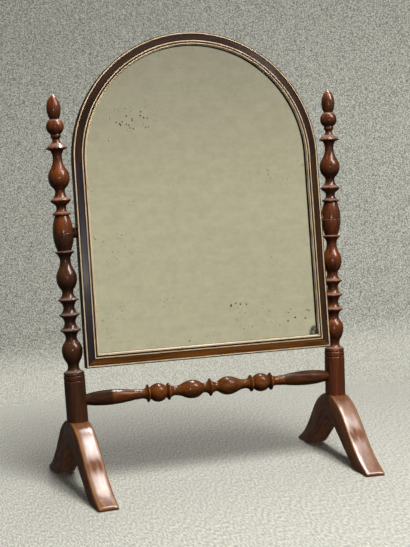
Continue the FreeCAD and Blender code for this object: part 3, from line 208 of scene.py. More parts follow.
def ring_quads(rows: int, columns: int) -> Array:
    """Return the four vertices of every face between rings that lie one after another."""
    row, column = np.meshgrid(np.arange(rows - 1), np.arange(columns), indexing="ij")
    here, after = row * columns + column, row * columns + (column + 1) % columns
    return np.stack([here, after, after + columns, here + columns], axis=-1).reshape(-1, 4)


def linked(name: str, data: bpy.types.ID) -> bpy.types.Object:
    """Return a new object of the scene that shows a mesh, light or camera."""
    made = bpy.data.objects.new(name, data)
    bpy.context.scene.collection.objects.link(made)
    return made


@dataclass
class Skin:
    """Closed surface on a grid, with rows along the piece and columns round it.

    Attributes:
        points: rows x columns x 3, in metres in the part's frame.
        timber: rows x columns x 3, the place in the wood: two ways across the grain, then along it.
        wear_and_painted_light: rows x columns, 1 on arrises that cloths and hands rub; also on the tops of turnings,
            which are lightened with faded polish, dust and a painted highlight, and on the feet's sides, which are
            painted light.
        grime_and_painted_light: rows x columns, 1 in hollows and corners, with dirt there and painted shade in the
            hollows of turnings; also painted shade under turnings and on the sight bevel, and painted light on the
            feet's sides.
        trim: first and last column of the faces that have a second finish.
    """

    points: Array
    timber: Array
    wear_and_painted_light: Array
    grime_and_painted_light: Array
    trim: tuple[int, int] = (0, 0)

    def faces(self) -> list[list[int]]:
        """Join neighbouring points in fours and close both ends, all facing outwards.

        Returns:
            Lists of vertex numbers. They are turned round where the volume, the sum of p0 . (p1 x p2) over the
            triangles, is negative.
        """
        rows, columns = self.points.shape[:2]
        quads = ring_quads(rows, columns)
        ends = [np.arange(columns)[::-1], np.arange(columns) + (rows - 1) * columns]
        fans = [np.stack([np.full(columns - 2, end[0]), end[1:-1], end[2:]], axis=1) for end in ends]
        triangles = np.concatenate([quads[:, :3], quads[:, [0, 2, 3]], *fans])
        place = self.points.reshape(-1, 3)[triangles]
        volume = (place[:, 0] * np.cross(place[:, 1], place[:, 2])).sum()
        order = 1 if volume > 0 else -1
        return quads[:, ::order].tolist() + [end[::order].tolist() for end in ends]

    def piece(self, name: str) -> bpy.types.Object:
        """Put the surface into a mesh object with its attributes.

        Args:
            name: name of the object.

        Returns:
            The object, linked to the scene.
        """
        mesh = bpy.data.meshes.new(name)
        mesh.from_pydata(self.points.reshape(-1, 3).tolist(), [], self.faces())
        timber = mesh.attributes.new("timber", "FLOAT_VECTOR", "POINT")
        timber.data.foreach_set("vector", np.ascontiguousarray(self.timber, np.float32).ravel())
        for label, values in (("wear_and_painted_light", self.wear_and_painted_light), ("grime_and_painted_light", self.grime_and_painted_light)):
            attribute = mesh.attributes.new(label, "FLOAT", "POINT")
            attribute.data.foreach_set("value", np.ascontiguousarray(values, np.float32).ravel())
        column = np.arange(len(mesh.polygons)) % self.points.shape[1]
        in_trim = (column >= self.trim[0]) & (column < self.trim[1])
        mesh.polygons.foreach_set("material_index", in_trim.astype(np.int32))
        mesh.shade_smooth()
        mesh.set_sharp_from_angle(angle=SHARP_ANGLE)
        return linked(name, mesh)


class Graph:
    """Places shader nodes in one tree and joins them.

    A value that goes into a node is a socket, which is joined to it, or a plain number, colour or vector.
    """

    mix_colours: ClassVar[tuple[int, int]] = (6, 7)
    mix_result: ClassVar[int] = 2

    def __init__(self, tree: bpy.types.NodeTree) -> None:
        """Keep the tree that the nodes go in."""
        self.tree = tree

    def fill(self, node: Node, values: dict[str | int, object]) -> None:
        """Join or set the inputs of a node, each by its name or number."""
        for key, value in values.items():
            if isinstance(value, Socket):
                self.tree.links.new(value, node.inputs[key])
            else:
                node.inputs[key].default_value = value

    def add(self, kind: str, values: dict[str | int, object] | None = None, **settings: object) -> Node:
        """Add a node.

        Args:
            kind: kind of node.
            values: what goes into its inputs.
            settings: its properties.

        Returns:
            The node.
        """
        made = self.tree.nodes.new(kind)
        for key, value in settings.items():
            setattr(made, key, value)
        self.fill(made, values or {})
        return made

    def math(self, operation: str, first: object, second: object = 0.0) -> Socket:
        """Work out one operation on two values, held between 0 and 1."""
        return self.add("ShaderNodeMath", {0: first, 1: second}, operation=operation, use_clamp=True).outputs[0]

    def times(self, first: object, second: object) -> Socket:
        """Multiply two values, held between 0 and 1."""
        return self.math("MULTIPLY", first, second)

    def size(self, value: object) -> Socket:
        """Return a value without its sign."""
        return self.add("ShaderNodeMath", {0: value}, operation="ABSOLUTE").outputs[0]

    def length(self, vector: object) -> Socket:
        """Return the length of a vector."""
        return self.add("ShaderNodeVectorMath", {0: vector}, operation="LENGTH").outputs["Value"]

    def parts(self, vector: object) -> Sockets:
        """Return the X, Y and Z of a vector."""
        made = self.add("ShaderNodeSeparateXYZ", {0: vector})
        return {label: made.outputs[label] for label in "XYZ"}

    def blend(self, share: object, low: object, high: object, way: str = "MIX") -> Socket:
        """Mix two colours.

        Args:
            share: how much of the second colour.
            low: first colour.
            high: second colour.
            way: how they are mixed.

        Returns:
            The mixed colour's socket.
        """
        values: dict[str | int, object] = {0: share}
        for slot, colour in zip(self.mix_colours, (low, high)):
            values[slot] = (*colour, 1.0) if isinstance(colour, tuple) else colour
        return self.add("ShaderNodeMix", values, data_type="RGBA", blend_type=way).outputs[self.mix_result]

    def spread(self, value: object, low: float, high: float, start: float = 0.0, end: float = 1.0) -> Socket:
        """Stretch a range of values smoothly onto another.

        Args:
            value: socket to stretch.
            low: value that becomes start.
            high: value that becomes end.
            start: first result.
            end: last result.

        Returns:
            The result's socket.
        """
        values = {"Value": value, "From Min": low, "From Max": high, "To Min": start, "To Max": end}
        return self.add("ShaderNodeMapRange", values, interpolation_type="SMOOTHSTEP").outputs["Result"]

    def noise(self, place: object, stretch: Triple, detail: float = 2.0, roughness: float = 0.5,
              warp: float = 0.0, shift: Triple = (0.0, 0.0, 0.0)) -> Socket:
        """Add cloudy noise, drawn out by a scale of its own each way.

        Args:
            place: vector socket that the noise is read at.
            stretch: waves per metre each way.
            detail: octaves.
            roughness: share of the finer octaves.
            warp: distortion.
            shift: offset that makes one noise unlike another.

        Returns:
            Socket with values about 0.5.
        """
        mapping = self.add("ShaderNodeMapping", {"Vector": place, "Location": shift, "Scale": stretch})
        values = {"Vector": mapping.outputs["Vector"], "Scale": 1.0, "Detail": detail, "Roughness": roughness,
                  "Distortion": warp}
        return self.add("ShaderNodeTexNoise", values).outputs["Fac"]

    def cells(self, place: object, scale: float) -> Node:
        """Scatter points, one in each cell, at a number of cells per metre."""
        return self.add("ShaderNodeTexVoronoi", {"Vector": place, "Scale": scale})

    def dots(self, place: object, scale: float, reach: float, share: float) -> Socket:
        """Scatter round dots, one in each chosen cell.

        Args:
            place: vector socket.
            scale: cells per metre.
            reach: radius of a dot, in cells.
            share: share of the cells that have one.

        Returns:
            The mask's socket.
        """
        found = self.cells(place, scale).outputs
        chosen = self.spread(found["Color"], 1 - share, 1.01 - share)
        return self.times(self.spread(found["Distance"], reach, 0.55 * reach), chosen)

    def read(self, attribute: str, output: str) -> Socket:
        """Return an output of one of the piece's own attributes."""
        return self.add("ShaderNodeAttribute", attribute_name=attribute).outputs[output]

    def solid_place(self) -> Socket:
        """Return Object coordinates."""
        return self.add("ShaderNodeTexCoord").outputs["Object"]

    def bump(self, shader: Node, height: object, strength: float, depth: float) -> None:
        """Feed a shader's normal from a height.

        Args:
            shader: shader whose normal is fed.
            height: socket with the height, 0 to 1.
            strength: share of the effect.
            depth: metres from the lowest to the highest.
        """
        made = self.add("ShaderNodeBump", {"Strength": strength, "Distance": depth, "Height": height})
        self.fill(shader, {"Normal": made.outputs["Normal"]})


class SharedEffect:
    """Shader node group that several finishes place with their own inputs."""

    name = ""
    takes: dict[str, str] = {}
    gives: dict[str, str] = {}

    def draw(self, graph: Graph, given: Sockets) -> Sockets:
        """Lay the group's nodes.

        Args:
            graph: graph of the group's own tree.
            given: the group's input sockets by name.

        Returns:
            What feeds each output, by name.
        """
        raise NotImplementedError

    def tree(self) -> bpy.types.NodeTree:
        """Return the group's tree, made the first time it is asked for."""
        found = bpy.data.node_groups.get(self.name)
        if found:
            return found
        tree = bpy.data.node_groups.new(self.name, "ShaderNodeTree")
        for way, sockets in (("INPUT", self.takes), ("OUTPUT", self.gives)):
            for label, kind in sockets.items():
                tree.interface.new_socket(name=label, in_out=way, socket_type=kind)
        graph = Graph(tree)
        entry, leave = graph.add("NodeGroupInput"), graph.add("NodeGroupOutput")
        graph.fill(leave, self.draw(graph, {label: entry.outputs[label] for label in self.takes}))
        return tree

    def place(self, graph: Graph, **values: object) -> Sockets:
        """Place the group in a material.

        Args:
            graph: graph of the material.
            values: socket or number for each input.

        Returns:
            The group's output sockets by name.
        """
        made = graph.add("ShaderNodeGroup", values, node_tree=self.tree())
        return {label: made.outputs[label] for label in self.gives}


class TimberFigure(SharedEffect):
    """Figure of sawn or turned wood: slow bands of tone, finer streaks along the grain, and open pores."""

    name = "timber_figure"
    takes = {"Timber": "NodeSocketVector"}
    gives = {"Bands": "NodeSocketFloat", "Streaks": "NodeSocketFloat", "Pores": "NodeSocketFloat"}

    def draw(self, graph: Graph, given: Sockets) -> Sockets:
        """Draw noise out along the grain at three scales.

        Args:
            graph: graph of the group's own tree.
            given: the group's input sockets by name.

        Returns:
            Bands, streaks and pores, each 0 to 1.
        """
        place = given["Timber"]
        bands = graph.noise(place, (75.0, 75.0, 7.0), detail=4.0, roughness=0.6, warp=0.8)
        streaks = graph.noise(place, (520.0, 520.0, 16.0), detail=3.0, roughness=0.65, shift=(3.0, 7.0, 1.0))
        pores = graph.noise(place, (2100.0, 2100.0, 95.0), detail=1.0, shift=(11.0, 5.0, 2.0))
        return {
            "Bands": graph.spread(bands, 0.32, 0.68),
            "Streaks": graph.spread(streaks, 0.34, 0.68),
            "Pores": graph.spread(pores, 0.58, 0.74),
        }


class Patina(SharedEffect):
    """Age on a polished surface: rubbed arrises, dirt in hollows and slow changes of gloss, with the painted light and
    painted shade that ride on the wear and grime.
    """

    name = "patina"
    takes = {"Place": "NodeSocketVector", "Wear_and_painted_light": "NodeSocketFloat", "Grime_and_painted_light": "NodeSocketFloat"}
    gives = {"Rubbed": "NodeSocketFloat", "Dirt": "NodeSocketFloat", "Smudge": "NodeSocketFloat"}

    def draw(self, graph: Graph, given: Sockets) -> Sockets:
        """Break the wear and grime up with patches, painted light and shade among them, and cloud the gloss.

        Args:
            graph: graph of the group's own tree.
            given: the group's input sockets by name.

        Returns:
            Rubbed wear and dirt, both carrying painted light and shade, and smudge, each 0 to 1.
        """
        patch = graph.noise(given["Place"], (190.0, 190.0, 42.0), detail=5.0, roughness=0.6)
        cloud = graph.noise(given["Place"], (38.0, 38.0, 24.0), detail=3.0, shift=(4.0, 9.0, 6.0))
        rubbed = graph.times(given["Wear_and_painted_light"], graph.spread(patch, 0.36, 0.62))
        dirt_and_painted_light = graph.times(given["Grime_and_painted_light"], graph.spread(patch, 0.66, 0.3, 0.6, 1.0))
        return {"Rubbed": rubbed, "Dirt": dirt_and_painted_light, "Smudge": graph.spread(cloud, 0.34, 0.66)}


class Foxing(SharedEffect):
    """Decay of old silvering: specks in clusters and along the edges, pale chips, haze and faint wipe marks."""

    name = "foxing"
    takes = {"Place": "NodeSocketVector"}
    gives = {"Specks": "NodeSocketFloat", "Chips": "NodeSocketFloat", "Haze": "NodeSocketFloat",
             "Wipes": "NodeSocketFloat"}
    clusters: tuple[tuple[Triple, Triple], ...] = (
        ((-0.122, 0.0, 0.412), (0.011, 0.1, 0.008)), ((0.044, 0.0, 0.265), (0.028, 0.1, 0.005)),
        ((0.155, 0.0, 0.236), (0.03, 0.1, 0.022)), ((-0.105, 0.0, 0.565), (0.04, 0.1, 0.022)),
    )
    decayed: tuple[Triple, Triple] = ((0.178, 0.0, 0.211), (0.011, 0.1, 0.012))
    chips: tuple[tuple[Triple, Triple], ...] = (
        ((-0.1425, 0.0, 0.5348), (0.0025, 0.1, 0.004)), ((-0.118, 0.0, 0.437), (0.0016, 0.1, 0.0018)),
        ((0.149, 0.0, 0.462), (0.0017, 0.1, 0.0015)),
    )

    def near(self, graph: Graph, place: object, spots: tuple[tuple[Triple, Triple], ...]) -> Socket:
        """Mark ellipsoids: 1 inside, where |(place - centre) / reach| is below about 1, and 0 outside.

        Args:
            graph: graph of the group's own tree.
            place: vector socket.
            spots: centre and reach of each.

        Returns:
            The mask's socket.
        """
        mask: object = 0.0
        for centre, reach in spots:
            values = {"Vector": place, "Location": centre, "Scale": reach}
            mapping = graph.add("ShaderNodeMapping", values, vector_type="TEXTURE")
            out = graph.length(mapping.outputs["Vector"])
            mask = graph.math("MAXIMUM", graph.spread(out, 1.15, 0.6), mask)
        return mask

    def draw(self, graph: Graph, given: Sockets) -> Sockets:
        """Scatter specks where a slow cloud lets them, with clouds and drawn-out wipes between them.

        Args:
            graph: graph of the group's own tree.
            given: the group's input sockets by name.

        Returns:
            Specks, chips, haze and wipes, each 0 to 1.
        """
        place = given["Place"]
        sides = graph.parts(place)
        edge = graph.math("MAXIMUM", graph.spread(graph.size(sides["X"]), 0.16, 0.184),
                          graph.spread(sides["Z"], 0.232, 0.206))
        cloud = graph.spread(graph.noise(place, (11.0, 11.0, 11.0), detail=4.0), 0.5, 0.66)
        cluster = self.near(graph, place, self.clusters)
        loose = graph.times(graph.math("MAXIMUM", edge, 0.3), cloud)
        where = graph.math("MAXIMUM", loose, cluster)
        small = graph.dots(place, 170.0, 0.3, 0.42)
        large = graph.dots(place, 75.0, 0.17, 0.4)
        specks = graph.times(graph.math("MAXIMUM", small, large), where)
        frayed = graph.spread(graph.noise(place, (240.0, 240.0, 240.0), detail=4.0), 0.3, 0.6)
        gone = graph.times(self.near(graph, place, (self.decayed,)), frayed)
        haze = graph.spread(graph.noise(place, (52.0, 52.0, 64.0), detail=6.0, roughness=0.7), 0.3, 0.75)
        wipes = graph.spread(graph.noise(place, (16.0, 90.0, 150.0), detail=5.0, warp=0.5), 0.42, 0.75)
        return {"Specks": graph.math("MAXIMUM", specks, gone), "Chips": self.near(graph, place, self.chips),
                "Haze": haze, "Wipes": wipes}


@dataclass(frozen=True)
class Finish:
    """A finish: its name, and how its material is laid."""

    name: str

    def lay(self, graph: Graph, shader: Node) -> None:
        """Lay the finish's nodes round its shader."""
        raise NotImplementedError

    def material(self) -> bpy.types.Material:
        """Return the finish's material, made the first time it is asked for."""
        found = bpy.data.materials.get(self.name)
        if found:
            return found
        made = bpy.data.materials.new(self.name)
        made.use_nodes = True
        self.lay(Graph(made.node_tree), made.node_tree.nodes["Principled BSDF"])
        return made


@dataclass(frozen=True)
class Wood(Finish):
    """Wood under old polish, or bare where the polish is nil.

    Attributes:
        deep: colour of the dark bands.
        warm: colour of the light bands.
        bright: colour of the lightest streaks.
        rubbed: colour where the arrises are worn; also of the lightened tops of turnings, which are partly a painted
            highlight, and of the feet's sides, which are painted light.
        soil_and_painted_light: colour of the pores and of the dirt in hollows; also of the painted shade under turnings
            and on the sight bevel, and on the feet a lighter colour that paints light on their sides.
        gloss: roughness of clean wood.
        polish: coat of shellac.
        polish_blur: roughness of that coat.
        polish_ior: refractive index of that coat.
        sheen: specular level of the wood itself.
        dust: colour where the wear is heaviest, of dust on tops with a painted highlight in it or of bare wood on
            arrises, if there is any.
        open_grain: how far pores darken the wood.
        relief: depth of the grain in metres.
        source: where the place in the timber is read from.
        worn: share of the wear that shows.
    """

    deep: Colour = (0.024, 0.006, 0.003)
    warm: Colour = (0.125, 0.028, 0.007)
    bright: Colour = (0.25, 0.067, 0.013)
    rubbed: Colour = (0.43, 0.112, 0.02)
    soil_and_painted_light: Colour = (0.012, 0.004, 0.002)
    gloss: float = 0.34
    polish: float = 0.95
    polish_blur: float = 0.16
    polish_ior: float = 1.5
    sheen: float = 0.2
    dust: Colour | None = None
    open_grain: float = 0.55
    relief: float = 0.00006
    source: GrainSource = GrainSource.LAID
    worn: float = 0.8

    def lay(self, graph: Graph, shader: Node) -> None:
        """Tint the figure, then rub the arrises and soil the hollows, with the painted light and painted shade that
        ride on the wear and grime.
        """
        if self.source is GrainSource.LAID:
            place = graph.read("timber", "Vector")
            wear_and_painted_light, grime_and_painted_light = graph.read("wear_and_painted_light", "Fac"), graph.read("grime_and_painted_light", "Fac")
        else:
            place, wear_and_painted_light, grime_and_painted_light = graph.solid_place(), 0.0, 0.0
        figure = TimberFigure().place(graph, Timber=place)
        age = Patina().place(graph, Place=place, Wear_and_painted_light=wear_and_painted_light, Grime_and_painted_light=grime_and_painted_light)
        colour = graph.blend(figure["Bands"], self.deep, self.warm)
        colour = graph.blend(graph.times(figure["Streaks"], 0.45), colour, self.bright)
        colour = graph.blend(graph.times(figure["Pores"], self.open_grain), colour, self.soil_and_painted_light)
        # Worn arrises, and painted light on the lightened tops of turnings and on the feet's sides.
        colour = graph.blend(graph.times(age["Rubbed"], self.worn), colour, self.rubbed)
        # Dust on the tops, partly a painted highlight.
        if self.dust:
            colour = graph.blend(graph.spread(wear_and_painted_light, 0.7, 1.0, 0.0, 0.75), colour, self.dust)
        # Dirt in hollows; painted shade in the hollows and under turnings and on the sight bevel; painted light on the
        # feet's sides.
        colour = graph.blend(graph.times(age["Dirt"], 0.85), colour, self.soil_and_painted_light)
        dull = graph.times(age["Smudge"], 0.12)
        dull = graph.math("ADD", dull, graph.times(age["Dirt"], 0.3))
        polish: object = self.polish
        if self.source is GrainSource.LAID:
            kept = graph.spread(age["Dirt"], 0.0, 1.1, self.polish, 0.0)
            polish = graph.times(kept, graph.spread(age["Smudge"], 0.0, 1.0, 1.0, 0.6))
        graph.fill(shader, {
            "Base Color": colour, "Roughness": graph.math("ADD", dull, self.gloss), "Coat Weight": polish,
            "Coat Roughness": self.polish_blur, "Coat IOR": self.polish_ior, "Specular IOR Level": self.sheen,
        })
        grain = graph.times(figure["Streaks"], 0.4)
        grain = graph.math("ADD", grain, graph.times(graph.math("SUBTRACT", 1.0, figure["Pores"]), 0.6))
        graph.bump(shader, grain, 0.5, self.relief)


@dataclass(frozen=True)
class PlateGlass(Finish):
    """Old plate glass, clear with a faint tint and slow ripples."""

    tint: Colour = (0.95, 0.96, 0.91)
    ripple: float = 0.000003

    def lay(self, graph: Graph, shader: Node) -> None:
        """Let light through, and ripple the faces a little."""
        place = graph.solid_place()
        film = graph.spread(graph.noise(place, (24.0, 60.0, 110.0), detail=4.0), 0.35, 0.75, 0.0, 0.012)
        clear = tuple(0.975 * part for part in self.tint)
        streak = graph.spread(graph.noise(place, (14.0, 60.0, 80.0), detail=3.0), 0.35, 0.7)
        graph.fill(shader, {"Base Color": graph.blend(streak, clear, self.tint), "Roughness": film,
                            "Transmission Weight": 1.0, "IOR": 1.5})
        graph.bump(shader, graph.noise(place, (12.0, 12.0, 9.0), detail=1.0), 0.3, self.ripple)


@dataclass(frozen=True)
class AgedSilvering(Finish):
    """Old silvering: a dim mirror with haze, specks and wipe marks."""

    silver: Colour = (0.88, 0.87, 0.80)
    haze: Colour = (0.775, 0.767, 0.695)
    decay: Colour = (0.13, 0.12, 0.1)
    chip: Colour = (0.92, 0.92, 0.87)
    smear: Colour = (0.76, 0.75, 0.67)

    def lay(self, graph: Graph, shader: Node) -> None:
        """Cloud the silver, and let the specks lose their metal."""
        marks = Foxing().place(graph, Place=graph.solid_place())
        colour = graph.blend(marks["Haze"], self.silver, self.haze)
        colour = graph.blend(graph.times(marks["Wipes"], 0.22), colour, self.smear)
        colour = graph.blend(marks["Specks"], colour, self.decay)
        bare = graph.math("MAXIMUM", graph.times(marks["Specks"], 0.9), marks["Chips"])
        rough = graph.math("ADD", graph.times(marks["Haze"], 0.05), graph.times(marks["Specks"], 0.5))
        graph.fill(shader, {"Base Color": graph.blend(marks["Chips"], colour, self.chip),
                            "Metallic": graph.math("SUBTRACT", 1.0, bare), "Roughness": rough})


@dataclass(frozen=True)
class OldMetal(Finish):
    """Metal with tarnish in patches.

    Attributes:
        bright: colour of rubbed metal.
        dull: colour of the tarnish.
        tarnish: share of the surface that is tarnished.
        gloss: roughness of rubbed metal.
    """

    bright: Colour = (0.5, 0.36, 0.15)
    dull: Colour = (0.11, 0.075, 0.035)
    tarnish: float = 0.6
    gloss: float = 0.3

    def lay(self, graph: Graph, shader: Node) -> None:
        """Spread tarnish in clouds, with fine scratches in the bump."""
        place = graph.solid_place()
        cloud = graph.noise(place, (260.0, 260.0, 260.0), detail=5.0, roughness=0.65)
        edge = 1.0 - self.tarnish
        dull = graph.spread(cloud, 0.2 + 0.5 * edge, 0.4 + 0.5 * edge)
        graph.fill(shader, {"Base Color": graph.blend(dull, self.bright, self.dull),
                            "Metallic": graph.spread(dull, 0.0, 1.0, 1.0, 0.7),
                            "Roughness": graph.spread(dull, 0.0, 1.0, self.gloss, self.gloss + 0.25)})
        graph.bump(shader, graph.noise(place, (900.0, 900.0, 2600.0), detail=3.0), 0.3, 0.00003)


@dataclass(frozen=True)
class WornLeather(Finish):
    """Dark leather of the pivot washers."""

    dark: Colour = (0.02, 0.011, 0.007)
    pale: Colour = (0.055, 0.03, 0.018)

    def lay(self, graph: Graph, shader: Node) -> None:
        """Pebble the surface and scuff it."""
        place = graph.solid_place()
        pebble = graph.spread(graph.cells(place, 1400.0).outputs["Distance"], 0.1, 0.6)
        scuff = graph.noise(place, (300.0, 300.0, 300.0), detail=4.0)
        graph.fill(shader, {"Base Color": graph.blend(graph.spread(scuff, 0.4, 0.65), self.dark, self.pale),
                            "Roughness": graph.spread(scuff, 0.3, 0.7, 0.5, 0.8)})
        graph.bump(shader, pebble, 0.4, 0.00015)


@dataclass(frozen=True)
class StudioFloor(Finish):
    """Pale felt under the object, which fades into the backdrop further out.

    Attributes:
        pale: main colour.
        fleck: colour of the darker fibres.
        near: radius in metres within which the floor is whole.
        far: radius in metres at which it has gone.
    """

    pale: Colour = (0.86, 0.855, 0.777)
    fleck: Colour = (0.47, 0.466, 0.42)
    near: float = 0.55
    far: float = 1.05

    def lay(self, graph: Graph, shader: Node) -> None:
        """Fleck the felt and fade its rim."""
        place = graph.solid_place()
        fibre = graph.noise(place, (470.0, 95.0, 470.0), detail=2.0, roughness=0.6)
        graph.fill(shader, {"Base Color": graph.blend(graph.spread(fibre, 0.32, 0.68), self.pale, self.fleck),
                            "Roughness": graph.spread(fibre, 0.2, 0.8, 0.85, 0.95),
                            "Alpha": graph.spread(graph.length(place), self.far, self.near),
                            "Specular IOR Level": 0.1})


# The posts' dust colours on the tops are partly dust, partly a painted highlight.
POST_WOOD = Wood("post_mahogany", dust=(0.35, 0.235, 0.185))
BROWN_WOOD = replace(POST_WOOD, name="brown_post_mahogany", deep=(0.018, 0.005, 0.003), warm=(0.085, 0.021, 0.007),
                     bright=(0.19, 0.053, 0.012), rubbed=(0.31, 0.088, 0.019))
DARK_WOOD = Wood("dark_post_mahogany", deep=(0.015, 0.005, 0.003), warm=(0.065, 0.02, 0.008),
                 bright=(0.13, 0.045, 0.014), rubbed=(0.19, 0.07, 0.026), dust=(0.27, 0.205, 0.18))
RAIL_WOOD = Wood("stretcher_mahogany", deep=(0.04, 0.01, 0.003), warm=(0.175, 0.045, 0.008),
                 bright=(0.29, 0.092, 0.018), rubbed=(0.42, 0.14, 0.027), soil_and_painted_light=(0.018, 0.011, 0.008),
                 polish=0.42, polish_blur=0.09, sheen=0.1)
# The feet's soil and rubbed colours are lighter than their bands, so that the sides, which take them, carry painted
# light.
FOOT_WOOD = Wood("foot_mahogany", deep=(0.08, 0.024, 0.008), warm=(0.17, 0.054, 0.016), bright=(0.28, 0.1, 0.031),
                 rubbed=(0.46, 0.16, 0.04), soil_and_painted_light=(0.19, 0.068, 0.023), dust=(0.5, 0.27, 0.1), gloss=0.36,
                 polish=1.0, polish_blur=0.29, polish_ior=1.92, worn=0.75)
FRAME_WOOD = Wood("frame_polish", deep=(0.007, 0.003, 0.002), warm=(0.02, 0.009, 0.005), bright=(0.034, 0.015, 0.008),
                  rubbed=(0.1, 0.04, 0.018), polish=0.3, sheen=0.1)
# The four veneer bands are one veneer in four tones: partly a real difference, partly painted light, the left band
# purple for a painted sheen and the bottom band brighter and warmer.
BAND_LEFT = Wood("left_band_veneer", deep=(0.014, 0.009, 0.012), warm=(0.034, 0.025, 0.03),
                 bright=(0.056, 0.042, 0.046), rubbed=(0.1, 0.065, 0.06), gloss=0.3, polish=0.12,
                 open_grain=0.4, sheen=0.04)
BAND_ARCH = Wood("arch_band_veneer", deep=(0.015, 0.008, 0.006), warm=(0.038, 0.02, 0.014),
                 bright=(0.064, 0.037, 0.024), rubbed=(0.1, 0.06, 0.04), gloss=0.28, polish=0.1,
                 open_grain=0.4, sheen=0.04)
BAND_RIGHT = Wood("right_band_veneer", deep=(0.02, 0.009, 0.005), warm=(0.052, 0.025, 0.013),
                  bright=(0.085, 0.045, 0.023), rubbed=(0.12, 0.07, 0.04), gloss=0.28, polish=0.15,
                  open_grain=0.4, sheen=0.04)
BAND_FOOT = Wood("bottom_band_veneer", deep=(0.065, 0.021, 0.004), warm=(0.195, 0.066, 0.012),
                 bright=(0.26, 0.105, 0.024), rubbed=(0.2, 0.09, 0.03), gloss=0.28, polish=0.15,
                 open_grain=0.45, sheen=0.04)
STRINGING = Wood("box_stringing", deep=(0.58, 0.42, 0.23), warm=(0.82, 0.64, 0.39), bright=(0.92, 0.77, 0.52),
                 rubbed=(0.92, 0.78, 0.54), soil_and_painted_light=(0.15, 0.07, 0.03), gloss=0.36, polish=0.3, open_grain=0.25,
                 relief=0.00002)
SIGHT_STRINGING = Wood("sight_stringing", deep=(0.64, 0.48, 0.28), warm=(0.85, 0.69, 0.45), bright=(0.93, 0.8, 0.58),
                       rubbed=(0.93, 0.8, 0.58), soil_and_painted_light=(0.2, 0.1, 0.05), gloss=0.34, polish=0.3, open_grain=0.2,
                       relief=0.00002)
# The slip's soil colour is the painted shade of the bevel where it faces down or left.
SIGHT_SLIP = Wood("sight_slip", deep=(0.56, 0.42, 0.24), warm=(0.76, 0.6, 0.38), bright=(0.86, 0.71, 0.48),
                  rubbed=(0.86, 0.73, 0.5), soil_and_painted_light=(0.025, 0.012, 0.007), gloss=0.36, polish=0.3, open_grain=0.15,
                  relief=0.00002)
BOARD_WOOD = Wood("old_deal", deep=(0.17, 0.095, 0.045), warm=(0.30, 0.185, 0.095), bright=(0.38, 0.25, 0.14),
                  rubbed=(0.4, 0.28, 0.16), soil_and_painted_light=(0.07, 0.045, 0.026), gloss=0.62, polish=0.0, open_grain=0.4,
                  relief=0.00025, source=GrainSource.SOLID)
MIDDLE_BOARD = replace(BOARD_WOOD, name="old_deal_middle", deep=(0.14, 0.075, 0.034), warm=(0.255, 0.15, 0.074),
                       bright=(0.34, 0.215, 0.115))
KEY_WOOD = Wood("key_wood", deep=(0.03, 0.015, 0.009), warm=(0.07, 0.034, 0.02), bright=(0.1, 0.05, 0.03),
                gloss=0.35, polish=0.3, source=GrainSource.SOLID)
GLASS = PlateGlass("plate_glass")
SILVER = AgedSilvering("aged_silvering")
BRASS = OldMetal("tarnished_brass")
IRON = OldMetal("nail_iron", bright=(0.2, 0.19, 0.18), dull=(0.05, 0.035, 0.026), tarnish=0.8, gloss=0.45)
LEATHER = WornLeather("washer_leather")
FLOOR = StudioFloor("studio_floor")


def fit(skin: Skin, body: str, finish: Finish, slot: str, *nodes: str, trim: Finish | None = None) -> bpy.types.Object:
    """Make a piece that stands for CAD nodes, and dress it.

    Args:
        skin: the piece's surface.
        body: body that it rides on.
        finish: its finish.
        slot: the record's material slot; not used.
        nodes: CAD nodes that it stands for; the first gives its name.
        trim: second finish, for the skin's trim.

    Returns:
        The piece.
    """
    made = skin.piece("dressed_" + nodes[0])
    for coating in (finish, trim):
        if coating:
            made.data.materials.append(coating.material())
    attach(made, body)
    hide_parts(*nodes)
    LOG.info("%s: %d faces, %s", made.name, len(made.data.polygons), finish.name)
    return made


def coat(finish: Finish, *nodes: str) -> None:
    """Give CAD nodes a finish.

    Args:
        finish: the finish.
        nodes: names of the nodes.
    """
    for node in nodes:
        for slot in frame["nodes"][node].material_slots:
            slot.material = finish.material()
        LOG.info("%s: CAD solid, %s", node, finish.name)


